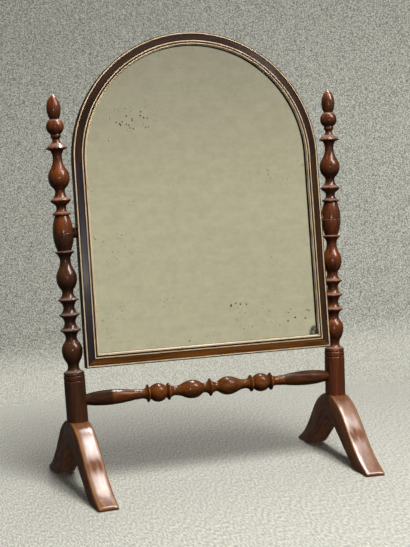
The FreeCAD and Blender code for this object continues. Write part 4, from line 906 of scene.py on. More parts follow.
@dataclass
class Turning:
    """Turned piece: the outline of its solid, eased a little and spun about its axis.

    Attributes:
        node: CAD node that gives the outline.
        foot: point on the axis from which heights count.
        axis: direction of the axis.
        low: height of the lowest part that shows.
        finish: the wood.
        shift: place of the piece in its timber.
        ease: how far arrises are softened.
        step: distance between rows.
        columns: points round the piece.
        least_ring: vertices that make a ring of the solid, and not the rim of a hole.
        level_gap: least distance between two rings.
        tip: radius at which a pointed end is closed.
        crest_reach, crest_full: length over which crests are averaged, and their height at full wear.
        arris_reach, arris_full: the same of arrises.
        slope_reach: length over which slopes are averaged.
        worn: greatest wear of crests and arrises.
        fade: lightening of the surfaces that face upwards, partly faded polish and dust, partly a painted highlight.
        stains: heights between which each dark stain lies, and its strength.
        stain_edge: width of a stain's edge.
        top_full: height of the normal at which a surface is wholly lightened.
            under_dark, under_start, under_slope: strength of the painted shade on the undersides, where it begins, and
                how fast.
    """

    node: str
    foot: Array
    axis: Array
    low: float
    finish: Wood
    shift: Triple
    ease: float = 0.00032
    step: float = 0.0005
    columns: int = 72
    least_ring: int = 22
    level_gap: float = 0.00002
    tip: float = 0.00006
    crest_reach: float = 0.007
    crest_full: float = 0.003
    arris_reach: float = 0.0011
    arris_full: float = 0.00014
    slope_reach: float = 0.0015
    worn: float = 0.7
    fade: float = 1.0
    stains: tuple[Triple, ...] = ()
    stain_edge: float = 0.003
    top_full: float = 0.8
    under_dark: float = 0.9
    under_start: float = 0.12
    under_slope: float = 1.7

    def outline(self) -> Array:
        """Read the solid's outline: the height of each ring of vertices and its widest radius.

        A ring far narrower than both of its neighbours is the floor of a socket, and is left out.

        Returns:
            Rows of height and radius, from the foot upwards.
        """
        offset = points_of(self.node) - self.foot
        height = offset @ self.axis
        radius = np.linalg.norm(offset - np.outer(height, self.axis), axis=1)
        order = np.argsort(height)
        height, radius = height[order], radius[order]
        level = np.concatenate([[0], np.cumsum(np.diff(height) > self.level_gap)])
        widest = np.zeros(level[-1] + 1)
        np.maximum.at(widest, level, radius)
        on_rim = np.bincount(level, weights=radius > widest[level] - self.level_gap)
        mean = np.bincount(level, weights=height) / np.bincount(level)
        kept = (on_rim >= self.least_ring) & (mean > self.low - self.level_gap)
        rings = np.stack([mean[kept], widest[kept]], axis=1)
        if radius[-1] < self.tip:
            rings = np.concatenate([rings, [[height[-1], self.tip]]])
        beside = np.pad(rings[:, 1], 1)
        return rings[rings[:, 1] > 0.6 * np.minimum(beside[:-2], beside[2:])]

    def skin(self) -> Skin:
        """Spin the outline: each row is a circle of its radius about the axis at its height.

        Returns:
            The surface, with wear on crests and arrises and dirt with painted shade in hollows, which are where the
            radius is above or below its average along the piece. Tops are lightened, partly faded polish and dust and
            partly a painted highlight, and undersides take painted shade, by the normal's height, which is (that of the
            spoke - slope x that of the axis) / sqrt(1 + slope^2).
        """
        line = blur(curve_through(self.outline(), self.step), self.ease / self.step)
        line[:, 1] = np.maximum(line[:, 1], self.tip)
        height, radius = line[:, 0], line[:, 1]
        crest = (radius - blur(line, self.crest_reach / self.step)[:, 1]) / self.crest_full
        arris = (radius - blur(line, self.arris_reach / self.step)[:, 1]) / self.arris_full
        wear_and_painted_light = self.worn * np.clip(np.maximum(crest, arris), 0, 1)
        # Hollows take dirt and painted shade.
        grime_and_painted_light = np.clip(np.maximum(-crest, -arris), 0, 1)
        angle = np.linspace(0, 2 * math.pi, self.columns, endpoint=False)
        first = np.cross(self.axis, [0.0, 1.0, 0.0])
        first /= np.linalg.norm(first)
        second = np.cross(self.axis, first)
        around = np.cos(angle)[:, None] * first + np.sin(angle)[:, None] * second
        slope = np.gradient(blur(line, self.slope_reach / self.step)[:, 1], height)[:, None]
        upward = (around[:, 2] - slope * self.axis[2]) / np.sqrt(1 + slope ** 2)
        # Tops are lightened, partly faded polish and dust, partly a painted highlight; undersides take painted shade.
        top = np.clip(upward / self.top_full, 0, 1)
        wear_and_painted_light = np.maximum(wear_and_painted_light[:, None], self.fade * top)
        under_shade = self.under_dark * np.clip(self.under_start - self.under_slope * upward, 0, 1)
        grime_and_painted_light = np.maximum(grime_and_painted_light[:, None] * (1 - top), under_shade)
        for start, end, share in self.stains:
            inside = np.minimum(height - start, end - height)[:, None]
            grime_and_painted_light = np.maximum(grime_and_painted_light, share * np.clip(inside / self.stain_edge, 0, 1))
        points = self.foot + height[:, None, None] * self.axis + radius[:, None, None] * around
        across = radius[:, None, None] * np.stack([np.cos(angle), np.sin(angle)], axis=1)
        along = np.broadcast_to(height[:, None, None], (*across.shape[:2], 1))
        timber = np.concatenate([across, along], axis=2) + np.array(self.shift)
        return Skin(points, timber, wear_and_painted_light, grime_and_painted_light)


@dataclass
class ArchedFoot:
    """Sawn foot: the upper and lower edges of its solid, joined across the board with rounded arrises.

    Attributes:
        side: which foot it is.
        spacing: distance of the post's axis from the middle.
        turn: turn of the foot about the post, front toe inwards.
        half_board: half of the board's thickness.
        limb_middle: height of a limb's middle line under the post.
        reach: length of a limb, from the post to the toe.
        toe_middle: height of the middle line at the toe.
        splay: lean of the post that stands on the seat.
        seat: height of the seat.
        crown: distance from the board's face over which a limb's upper side rounds over.
        arris: fall of the upper side over that distance.
        sole_arris: radius of the lower arrises.
        nose: radius of the toe's end.
        limb_angle: slope of the limbs, which the grain follows.
        knee, knee_edge: shares of the reach at which the dull knee ends, and over which it fades.
        dull_middle, dull_spread: shares of the reach of the dull zone half way down.
        dull_depth: strength of the dull zones.
        side_painted_light, side_soil_and_painted_light: painted light on the sides, through lighter rubbed and soil
        colours; the second also dulls their polish.
        worn_top: how much more the top is worn.
        timber_shift: sideways move of each foot's grain, so that the feet differ.
        step: distance between samples of the solid's edges.
        seat_ease: how far the upper edge is softened.
        stations: rows from the front toe to the back toe.
        arc_points: points on each corner.
    """

    side: Side
    spacing: float = 0.2165
    turn: float = math.radians(3.2)
    half_board: float = 0.0151
    limb_middle: float = 0.084
    reach: float = 0.1605
    toe_middle: float = 0.00285
    splay: float = math.radians(1.27)
    seat: float = 0.1028
    crown: float = 0.0085
    arris: float = 0.0021
    sole_arris: float = 0.0012
    nose: float = 0.0027
    limb_angle: float = math.radians(42)
    knee: float = 0.26
    dull_middle: float = 0.57
    dull_spread: float = 0.08
    knee_edge: float = 0.06
    dull_depth: float = 1.35
    side_painted_light: float = 0.6
    side_soil_and_painted_light: float = 0.8
    worn_top: float = 0.1
    timber_shift: float = 0.2
    step: float = 0.0006
    seat_ease: float = 0.0012
    stations: int = 640
    arc_points: int = 7

    def edges(self) -> tuple[Array, Array]:
        """Read the solid's side: its upper and its lower edge, each from the front toe to the back toe.

        Returns:
            Two lines of depth and height, with their points evenly spaced.
        """
        place = self.to_board(points_of(self.side.label + "_leg"))
        face = place[np.abs(place[:, 0] - place[:, 0].min()) < 1e-5][:, 1:]
        face = np.unique(np.round(face, 6), axis=0)
        fall = (self.limb_middle - self.toe_middle) / self.reach
        above = face[:, 1] > self.limb_middle - fall * np.abs(face[:, 0])
        lines = [curve_through(edge[np.argsort(edge[:, 0])], self.step) for edge in (face[above], face[~above])]
        lines = [evenly(line, self.stations) for line in lines]
        return blur(lines[0], self.seat_ease / self.step), np.maximum(lines[1], [-1.0, 0.0])

    def to_board(self, points: Array) -> Array:
        """Turn points of the part's frame into the board's own frame."""
        turn = self.turn * -self.side.value
        offset = points - np.array([self.side.value * self.spacing, 0, 0])
        return np.stack([offset[:, 0] * math.cos(turn) + offset[:, 1] * math.sin(turn),
                         offset[:, 1] * math.cos(turn) - offset[:, 0] * math.sin(turn), offset[:, 2]], axis=1)

    def skin(self) -> Skin:
        """Join the edges, station by station, with a rectangle whose corners are quarters of ellipses.

        A corner's point at angle a lies at its centre plus (width cos a, radius sin a), across the board and from
        the lower to the upper edge. Within the nose's radius n of a toe, at distance q, the rectangle is drawn in
        on all sides by n - sqrt(n^2 - (n - q)^2).

        Returns:
            The surface, with the upper arrises bare, the sides painted light in lighter colours and with duller polish,
            and the polish dull at the knee and half way down.
        """
        upper, lower = self.edges()
        rise = upper - lower
        tall = np.linalg.norm(rise, axis=1)
        rise /= tall[:, None]
        near = np.clip(self.nose - (self.reach - np.abs(upper[:, 0])), 0, self.nose)
        drawn = self.nose - np.sqrt(np.maximum(self.nose ** 2 - near ** 2, 0))
        quarter = np.linspace(0, math.pi / 2, self.arc_points)
        angle = np.concatenate([quarter, quarter + math.pi / 2, quarter + math.pi, quarter + 1.5 * math.pi])
        way = np.repeat([1.0, -1.0, -1.0, 1.0], self.arc_points)
        up = np.repeat([1.0, 1.0, -1.0, -1.0], self.arc_points)
        half_tall = (0.5 * tall - drawn)[:, None]
        radius = np.minimum(np.where(up > 0, self.arris, self.sole_arris), 0.9 * half_tall)
        width = np.where(up > 0, self.crown, self.sole_arris)
        across = way * (self.half_board - drawn[:, None] - width) + width * np.cos(angle)
        lift = 0.5 * tall[:, None] + up * (half_tall - radius) + radius * np.sin(angle)
        depth = lower[:, :1] + lift * rise[:, :1]
        lean = self.seat - across * math.tan(self.splay) * self.side.value
        height = np.minimum(lower[:, 1:] + lift * rise[:, 1:], lean)
        turn = self.turn * -self.side.value
        points = np.stack([self.side.value * self.spacing + across * math.cos(turn) - depth * math.sin(turn),
                           across * math.sin(turn) + depth * math.cos(turn), height], axis=2)
        slope, fall = math.cos(self.limb_angle), math.sin(self.limb_angle)
        timber = np.stack([across + self.timber_shift * self.side.value, np.abs(depth) * fall + height * slope,
                           np.abs(depth) * slope - height * fall], axis=2)
        top = np.where(up > 0, np.sin(angle) ** 2, 0.0)
        share = np.abs(depth) / self.reach
        dull = np.exp(-((share - self.dull_middle) / self.dull_spread) ** 2)
        dull = np.clip(dull + np.clip((self.knee - share) / self.knee_edge, 0, 1), 0, 1)
        edge = np.where(up > 0, np.sin(2 * angle) ** 4, 0.0)
        # Painted light on the sides: lighter rubbed and soil colours, and a duller polish, there.
        wear_and_painted_light = np.maximum(edge, self.side_painted_light + self.worn_top * top) + 0 * height
        grime_and_painted_light = np.maximum(self.side_soil_and_painted_light * (1 - top) ** 2, self.dull_depth * dull * np.maximum(top, 0.1))
        return Skin(points, timber, wear_and_painted_light, grime_and_painted_light)


@dataclass
class Stand:
    """Feet, posts and stretcher, which do not move.

    Attributes:
        spacing: distance of a post's foot from the middle.
        splay: outward lean of the posts.
        seat: height of the feet's seats.
        joint: distance up the post at which its two halves meet.
        stretcher_height: height of the stretcher's axis.
        post_woods: wood of the halves that are darker than the rest.
        rail_stains: stains at the stretcher's ends.
    """

    spacing: float = 0.2165
    splay: float = math.radians(1.27)
    seat: float = 0.1028
    joint: float = 0.2908
    stretcher_height: float = 0.135
    post_woods: ClassVar[dict[str, Wood]] = {"left_lower_post": DARK_WOOD, "right_upper_post": BROWN_WOOD}
    rail_stains: tuple[Triple, ...] = ((-0.25, -0.159, 1.3), (0.124, 0.25, 1.0))

    def build(self) -> None:
        """Build and dress both feet, both posts and the stretcher."""
        for side in Side:
            fit(ArchedFoot(side).skin(), "stand", FOOT_WOOD, "mahogany", side.label + "_leg")
            axis = np.array([side.value * math.sin(self.splay), 0.0, math.cos(self.splay)])
            foot = np.array([side.value * self.spacing, 0.0, self.seat])
            for part, low, lift in (("lower", 0.0, 0.0), ("upper", self.joint, 0.7)):
                node = f"{side.label}_{part}_post"
                wood = self.post_woods.get(node, POST_WOOD)
                turning = Turning(node, foot, axis, low, wood, (0.06, 0.3 * side.value, lift))
                fit(turning.skin(), "stand", turning.finish, "mahogany", node)
        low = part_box("stretcher")[0].x
        rail = Turning("stretcher", np.array([0.0, 0.0, self.stretcher_height]), np.array([1.0, 0.0, 0.0]), low,
                       RAIL_WOOD, (0.04, 0.9, 0.2), columns=64, fade=0.4, stains=self.rail_stains)
        fit(rail.skin(), "stand", rail.finish, "mahogany", "stretcher")


@dataclass
class Section:
    """Section of a moulding, a closed outline of distance in from the frame's outer edge, and depth.

    Attributes:
        inset: distance in from the outer edge at each point.
        depth: depth at each point, backwards.
        wear_and_painted_light: 1 at points on rubbed arrises.
        grime_and_painted_light: 1 at points in corners, which are darkened.
        plate: 1 at points on the bed of the pivot plate.
        kerf: 1 at points on the bed of the corner key's slot.
        trim: first and last column of the sight bevel.
    """

    inset: Array
    depth: Array
    wear_and_painted_light: Array
    grime_and_painted_light: Array
    plate: Array
    kerf: Array
    trim: tuple[int, int] = (0, 0)

    @classmethod
    def of(cls, corners: Array, radii: Array, wear_and_painted_light: Array, grime_and_painted_light: Array) -> "Section":
        """Ease the corners of an outline.

        Args:
            corners: corners x 2, inset and depth.
            radii: radius of each corner.
            wear_and_painted_light: rubbing of each corner.
            grime_and_painted_light: darkening of each corner.

        Returns:
            The section, with no beds.
        """
        points = eased(corners, radii)
        count = points.shape[1]
        flat = points.reshape(-1, 2)
        nothing = np.zeros(len(flat))
        return cls(flat[:, 0], flat[:, 1], np.repeat(wear_and_painted_light, count), np.repeat(grime_and_painted_light, count), nothing, nothing)

    def with_points(self, inset: Array, depth: Array, plate: Array, kerf: Array) -> "Section":
        """Add plain points after the last corner.

        Args:
            inset: distance in of each point.
            depth: depth of each point.
            plate: 1 on the plate's bed.
            kerf: 1 on the key's bed.

        Returns:
            The longer section.
        """
        nothing = np.zeros(len(inset))
        join = np.concatenate
        return Section(join([self.inset, inset]), join([self.depth, depth]), join([self.wear_and_painted_light, nothing]),
                       join([self.grime_and_painted_light, nothing]), join([self.plate, plate]), join([self.kerf, kerf]), self.trim)


class Member(Enum):
    """Run of a moulding round the frame."""

    LEFT_STILE = "left_stile"
    RIGHT_STILE = "right_stile"
    ARCH = "arch"
    FOOT = "bottom"
    HOOP = "hoop"


@dataclass
class MirrorFrame:
    """Arched frame with its veneer band and stringing, which tilts on the pivots.

    Attributes:
        tilt: lean of the mirror at rest, its top backwards.
        half: distance from the middle to the outer edge of a stile.
        drop: distance from the pivot down to the foot of the frame.
        rise: distance from the pivot up to the springing of the arch.
        front: depth of the rim's face, forwards of the pivot.
        crown: depth of the bead's face.
        back: depth of the frame's back.
        glass_front: depth of the glass.
        face: width of the frame's face.
        wall: width of the wall behind the rebate.
        bed: depth of the beds of veneer and stringing.
        proud: how far stringing stands proud.
        rim, outer_line, veneer, inner_line, bead, sight_line: widths across the face, from the outer edge.
        bevel: fall of the sight bevel.
        plate_length, plate_width, plate_bed: pivot plate in a stile's edge.
        key_leg, key_thickness: corner keys.
        arch_rows: rows of the arch.
        crease: radius of arrises that nothing has worn.
        edges: distances from the outer edge to the end of each width.
    """

    tilt: float = math.radians(3.42)
    half: float = 0.202495
    drop: float = 0.2087
    rise: float = 0.1063
    front: float = -0.0113
    crown: float = -0.0126
    back: float = 0.0065
    glass_front: float = -0.0092
    face: float = 0.0214
    wall: float = 0.0140
    bed: float = 0.0010
    proud: float = 0.00025
    rim: float = 0.0014
    outer_line: float = 0.0018
    veneer: float = 0.0108
    inner_line: float = 0.0016
    bead: float = 0.0026
    sight_line: float = 0.0012
    bevel: float = 0.0020
    plate_length: float = 0.046
    plate_width: float = 0.011
    plate_bed: float = 0.0016
    key_leg: float = 0.020
    key_thickness: float = 0.002
    arch_rows: int = 120
    crease: float = 0.00002
    edges: Array = field(init=False)

    def __post_init__(self) -> None:
        """Add the widths up into distances from the outer edge."""
        widths = [0.0, self.rim, self.outer_line, self.veneer, self.inner_line, self.bead, self.sight_line]
        self.edges = np.cumsum(widths)

    def leaned(self, across: Array, depth: Array, height: Array) -> Array:
        """Lean upright points with the mirror.

        A point x, y, z about the pivot goes to x, y cos t + z sin t, z cos t - y sin t, at tilt t.

        Args:
            across: distance to the right.
            depth: distance behind the pivot.
            height: height above the pivot.

        Returns:
            Points in the part's frame.
        """
        lean, level = math.sin(self.tilt), math.cos(self.tilt)
        return np.stack([across, depth * level + height * lean, PIVOT_HEIGHT + height * level - depth * lean], axis=-1)

    def upright(self, points: Array) -> Array:
        """Turn points of the part's frame upright about the pivot, the other way round."""
        lean, level = math.sin(self.tilt), math.cos(self.tilt)
        rise = points[:, 2] - PIVOT_HEIGHT
        return np.stack([points[:, 0], points[:, 1] * level - rise * lean, rise * level + points[:, 1] * lean], axis=-1)

    def rail_section(self) -> Section:
        """Return the section of the timber: rim, beds, bead, sight bevel, rebate and back."""
        _, rim, band, band_end, bead, line, line_end = self.edges
        low, high = self.front + self.bed, self.crown + self.bed
        fine, soft = self.crease, 0.0003
        rows = [
            (0.0, self.front, 0.0006, 1.0, 0.0), (rim, self.front, soft, 0.6, 0.0), (rim, low, fine, 0.0, 1.0),
            (band, low, fine, 0.0, 1.0), (band_end, high, fine, 0.0, 1.0), (bead, high, fine, 0.0, 1.0),
            (bead, self.crown, 0.0005, 1.0, 0.0), (line, self.crown, soft, 0.5, 0.0), (line, high, fine, 0.0, 1.0),
            (line_end, high, fine, 0.0, 1.0), (line_end, self.crown, soft, 0.5, 0.0),
            (self.face, self.crown + self.bevel, soft, 0.3, 0.0), (self.face, self.glass_front, fine, 0.0, 1.0),
            (self.wall, self.glass_front, fine, 0.0, 0.5), (self.wall, self.back, 0.0004, 0.4, 0.0),
            (0.0, self.back, 0.001, 0.9, 0.0),
        ]
        table = np.array(rows)
        section = Section.of(table[:, :2], table[:, 2], table[:, 3], table[:, 4])
        across = len(section.inset) // len(rows)
        section.trim = (10 * across + across // 2, 11 * across + across // 2)
        return section

    def edged_section(self) -> Section:
        """Return the timber's section with points on its outer edge for the pivot plate's bed and the key's slot."""
        middle = 0.5 * (self.glass_front + self.back)
        plate, key, fine = 0.5 * self.plate_width, 0.5 * self.key_thickness, self.crease
        depth = np.array([plate, plate - fine, middle + key, middle + key - fine, middle - key + fine, middle - key,
                          fine - plate, -plate])
        on_plate = np.array([0, 1, 1, 1, 1, 1, 1, 0], float)
        on_key = np.array([0, 0, 0, 1, 1, 0, 0, 0], float)
        return self.rail_section().with_points(np.zeros(8), depth, on_plate, on_key)

    def line_section(self, start: float, end: float, face: float) -> Section:
        """Return the section of a stringing line, a strip that stands a little proud of a face."""
        top, foot = face - self.proud, face + self.bed
        corners = np.array([(start, foot), (end, foot), (end, top), (start, top)])
        fine = self.crease
        return Section.of(corners, np.array([fine, fine, 0.0002, 0.0002]), np.array([0, 0, 0.6, 0.6]),
                          np.array([1.0, 1.0, 0.35, 0.35]))

    def band_section(self) -> Section:
        """Return the section of the veneer band, with points across its face that darken towards both edges."""
        start, end = self.edges[2], self.edges[3]
        share = np.linspace(0, 1, 15)
        inset = np.concatenate([end + (start - end) * share, [start, end]])
        depth = np.concatenate([self.crown + (self.front - self.crown) * share,
                                [self.front + self.bed, self.crown + self.bed]])
        edge = np.minimum(share, 1 - share) * self.veneer
        grime_and_painted_light = np.concatenate([np.exp(-(edge / 0.0015) ** 2), [1.0, 1.0]])
        nothing = np.zeros(len(inset))
        return Section(inset, depth, nothing, grime_and_painted_light, nothing, nothing)

    def stile_run(self, section: Section, side: Side) -> tuple[Array, Array, Array]:
        """Carry a section up a stile, from its mitre to the springing.

        A point at inset u starts at height u above the foot of the frame, which cuts the mitre. Beds sink the
        plate's points over its length, and the key's points from half a leg at the mitre to nothing.

        Args:
            section: the section.
            side: which stile.

        Returns:
            Across and height at each row and column, and the distance along the piece.
        """
        fine = self.crease
        plate_low, plate_high = self.drop - self.plate_length / 2, self.drop + self.plate_length / 2
        height = np.array([0.0, self.key_leg, plate_low, plate_low + fine, plate_high - fine, plate_high,
                           self.drop + self.rise])
        on_plate = np.array([0, 0, 0, 1, 1, 0, 0], float)
        on_key = np.array([0.5, 0, 0, 0, 0, 0, 0])
        inset = (section.inset + np.outer(on_plate, section.plate) * self.plate_bed
                 + np.outer(on_key, section.kerf) * self.key_leg)
        up = np.broadcast_to(height[:, None], inset.shape).copy()
        up[0] = inset[0]
        return side.value * (self.half - inset), up - self.drop, up

    def arch_run(self, section: Section) -> tuple[Array, Array, Array]:
        """Carry a section round the arch, a half circle about the middle of the springing.

        Args:
            section: the section.

        Returns:
            Across and height at each row and column, and the distance along the piece.
        """
        angle = np.linspace(math.pi, 0, self.arch_rows)[:, None]
        radius = self.half - section.inset[None, :]
        along = self.half * (math.pi - angle) + 0 * radius
        return radius * np.cos(angle), self.rise + radius * np.sin(angle), along + self.drop + self.rise

    def foot_run(self, section: Section) -> tuple[Array, Array, Array]:
        """Carry a section along the bottom rail, mitred at both ends.

        Args:
            section: the section.

        Returns:
            Across and height at each row and column, and the distance along the piece.
        """
        place = np.array([0.0, self.key_leg, 2 * self.half - self.key_leg, 2 * self.half])
        on_key = np.array([0.5, 0, 0, 0.5])
        inset = section.inset + np.outer(on_key, section.kerf) * self.key_leg
        along = np.broadcast_to(place[:, None], inset.shape).copy()
        along[0] = inset[0]
        along[-1] = 2 * self.half - inset[-1]
        return along - self.half, inset - self.drop, along

    def skin(self, member: Member, section: Section, shift: Triple) -> Skin:
        """Carry a section along a run and lean it with the mirror.

        The sight bevel takes painted shade where it faces down or left, and none where it faces up or right.

        Args:
            member: which run.
            section: the section.
            shift: place of the piece in its timber.

        Returns:
            The surface.
        """
        if member is Member.ARCH:
            across, height, along = self.arch_run(section)
        elif member is Member.FOOT:
            across, height, along = self.foot_run(section)
        elif member is Member.HOOP:
            runs = (self.stile_run(section, Side.LEFT), tuple(part[1:-1] for part in self.arch_run(section)),
                    tuple(part[::-1] for part in self.stile_run(section, Side.RIGHT)))
            across, height, along = (np.concatenate(parts) for parts in zip(*runs))
        else:
            across, height, along = self.stile_run(section, Side.LEFT if member is Member.LEFT_STILE else Side.RIGHT)
        depth = np.broadcast_to(section.depth, across.shape)
        points = self.leaned(across, depth, height)
        inset = np.broadcast_to(section.inset, across.shape)
        timber = np.stack([inset, depth, along], axis=2) + np.array(shift)
        grime_and_painted_light = np.broadcast_to(section.grime_and_painted_light, across.shape).copy()
        first, last = section.trim
        # Painted shade on the sight bevel, by the way it faces.
        turned = across[:, :1] / np.hypot(across[:, :1], np.maximum(height[:, :1] - self.rise, 0))
        sight_painted_shade = np.clip((1 + turned) / 0.9, 0, 1) if member is not Member.FOOT else 0 * turned
        grime_and_painted_light[:, first:last + 1 if last else 0] = sight_painted_shade
        return Skin(points, timber, np.broadcast_to(section.wear_and_painted_light, across.shape), grime_and_painted_light, section.trim)

    def build(self) -> None:
        """Build and dress the timber, the veneer band and the three lines of stringing."""
        edged, plain, band = self.edged_section(), self.rail_section(), self.band_section()
        timbers = ((Member.ARCH, plain, "arch_rail"), (Member.LEFT_STILE, edged, "left_stile"),
                   (Member.RIGHT_STILE, edged, "right_stile"), (Member.FOOT, edged, "bottom_rail"))
        for number, (member, section, node) in enumerate(timbers):
            skin = self.skin(member, section, (0.0, 0.1 * number, 0.4 * number))
            fit(skin, "mirror", FRAME_WOOD, "frame_wood", node, trim=SIGHT_SLIP)
        bands = ((Member.ARCH, BAND_ARCH, "arch_veneer"), (Member.LEFT_STILE, BAND_LEFT, "left_stile_veneer"),
                 (Member.RIGHT_STILE, BAND_RIGHT, "right_stile_veneer"), (Member.FOOT, BAND_FOOT, "bottom_veneer"))
        for number, (member, finish, node) in enumerate(bands):
            fit(self.skin(member, band, (0.05, 0.2 * number, 0.3 * number)), "mirror", finish, "dark_veneer", node)
        _, rim, start, end, bead, line, line_end = self.edges
        lines = (("outer", rim, start, self.front, STRINGING), ("inner", end, bead, self.crown, STRINGING),
                 ("sight", line, line_end, self.crown, SIGHT_STRINGING))
        for number, (label, near, far, face, finish) in enumerate(lines):
            section = self.line_section(near, far, face)
            for member, word in ((Member.HOOP, "hoop"), (Member.FOOT, "foot")):
                skin = self.skin(member, section, (0.0, 0.15 * number, 0.2 * number))
                fit(skin, "mirror", finish, "stringing", f"{label}_stringing_{word}")


@dataclass
class Glazing:
    """Plate, silvering, blocks and backboards behind the frame's face. All but the silvering keep their solids.

    Attributes:
        press: how far the silver goes into the glass, so that no two faces share a plane.
        arris: bevel of the silver's rim.
        arch_points: points round the arch.
    """

    press: float = 0.00003
    arris: float = 0.00008
    arch_points: int = 128

    def silver_skin(self, mirror: MirrorFrame) -> Skin:
        """Rebuild the silver coat from its solid's width, foot and two faces.

        Its outline is the foot, then a half circle x = half cos a, z = rise + half sin a, drawn in at both faces.

        Args:
            mirror: the frame that it leans with.

        Returns:
            The surface.
        """
        place = mirror.upright(points_of("silvering"))
        low, high = place.min(axis=0), place.max(axis=0)
        angle = np.linspace(0, math.pi, self.arch_points)
        across = high[0] * np.concatenate([[-1, 1], np.cos(angle)])
        height = np.concatenate([[low[2], low[2]], mirror.rise + high[0] * np.sin(angle)])
        scale = 1 - np.array([self.arris, 0, 0, self.arris])[:, None] / high[0]
        depth = np.array([low[1] - self.press, low[1] + self.arris, high[1] - self.arris, high[1]])[:, None]
        points = mirror.leaned(across * scale, depth + 0 * across, mirror.rise + (height - mirror.rise) * scale)
        return Skin(points, points, 0 * depth * across, 0 * depth * across)

    def dress(self) -> None:
        """Fit the silvering, and coat the glass, boards, blocks, dowels, keys and nails."""
        coat(GLASS, "mirror_glass")
        fit(self.silver_skin(MirrorFrame()), "mirror", SILVER, "silvering", "silvering")
        coat(BOARD_WOOD, "backboard_left", "backboard_right", "glazing_blocks", "stile_dowels")
        coat(MIDDLE_BOARD, "backboard_centre")
        coat(KEY_WOOD, "corner_keys")
        coat(IRON, "backboard_nails")


@dataclass
class Pivots:
    """Brass plates, screws and pins with leather washers on both sides, whose solids keep their shapes."""

    metal: tuple[str, ...] = ("pivot_plate", "plate_screws", "pivot_pin")

    def dress(self) -> None:
        """Coat the metal and the washers."""
        for side in Side:
            coat(BRASS, *(f"{side.label}_{word}" for word in self.metal))
            coat(LEATHER, side.label + "_pivot_washer")


class Throw(Enum):
    """What a light is for: all surfaces, matt light alone, or glints alone."""

    ALL = (True, True)
    MATT = (True, False)
    GLINT = (False, True)


@dataclass(frozen=True)
class SoftBox:
    """Rectangular studio light.

    Attributes:
        name: name of the light.
        place: where it hangs.
        aim: point that it faces.
        width: size across.
        length: size along.
        brightness: radiance of its face.
        colour: its tint.
        throw: what it is for.
    """

    name: str
    place: Triple
    aim: Triple
    width: float
    length: float
    brightness: float
    colour: Colour = (1.0, 0.985, 0.955)
    throw: Throw = Throw.ALL

    def hang(self) -> None:
        """Add the light; its power is radiance times area times pi."""
        light = bpy.data.lights.new(self.name, "AREA")
        light.shape = "RECTANGLE"
        light.size, light.size_y = self.width, self.length
        light.energy = self.brightness * self.width * self.length * math.pi
        light.color = self.colour
        made = linked(self.name, light)
        made.visible_diffuse, made.visible_glossy = self.throw.value
        made.visible_camera = made.visible_transmission = False
        made.location = self.place
        made.rotation_euler = (Vector(self.aim) - Vector(self.place)).to_track_quat("-Z", "Y").to_euler()


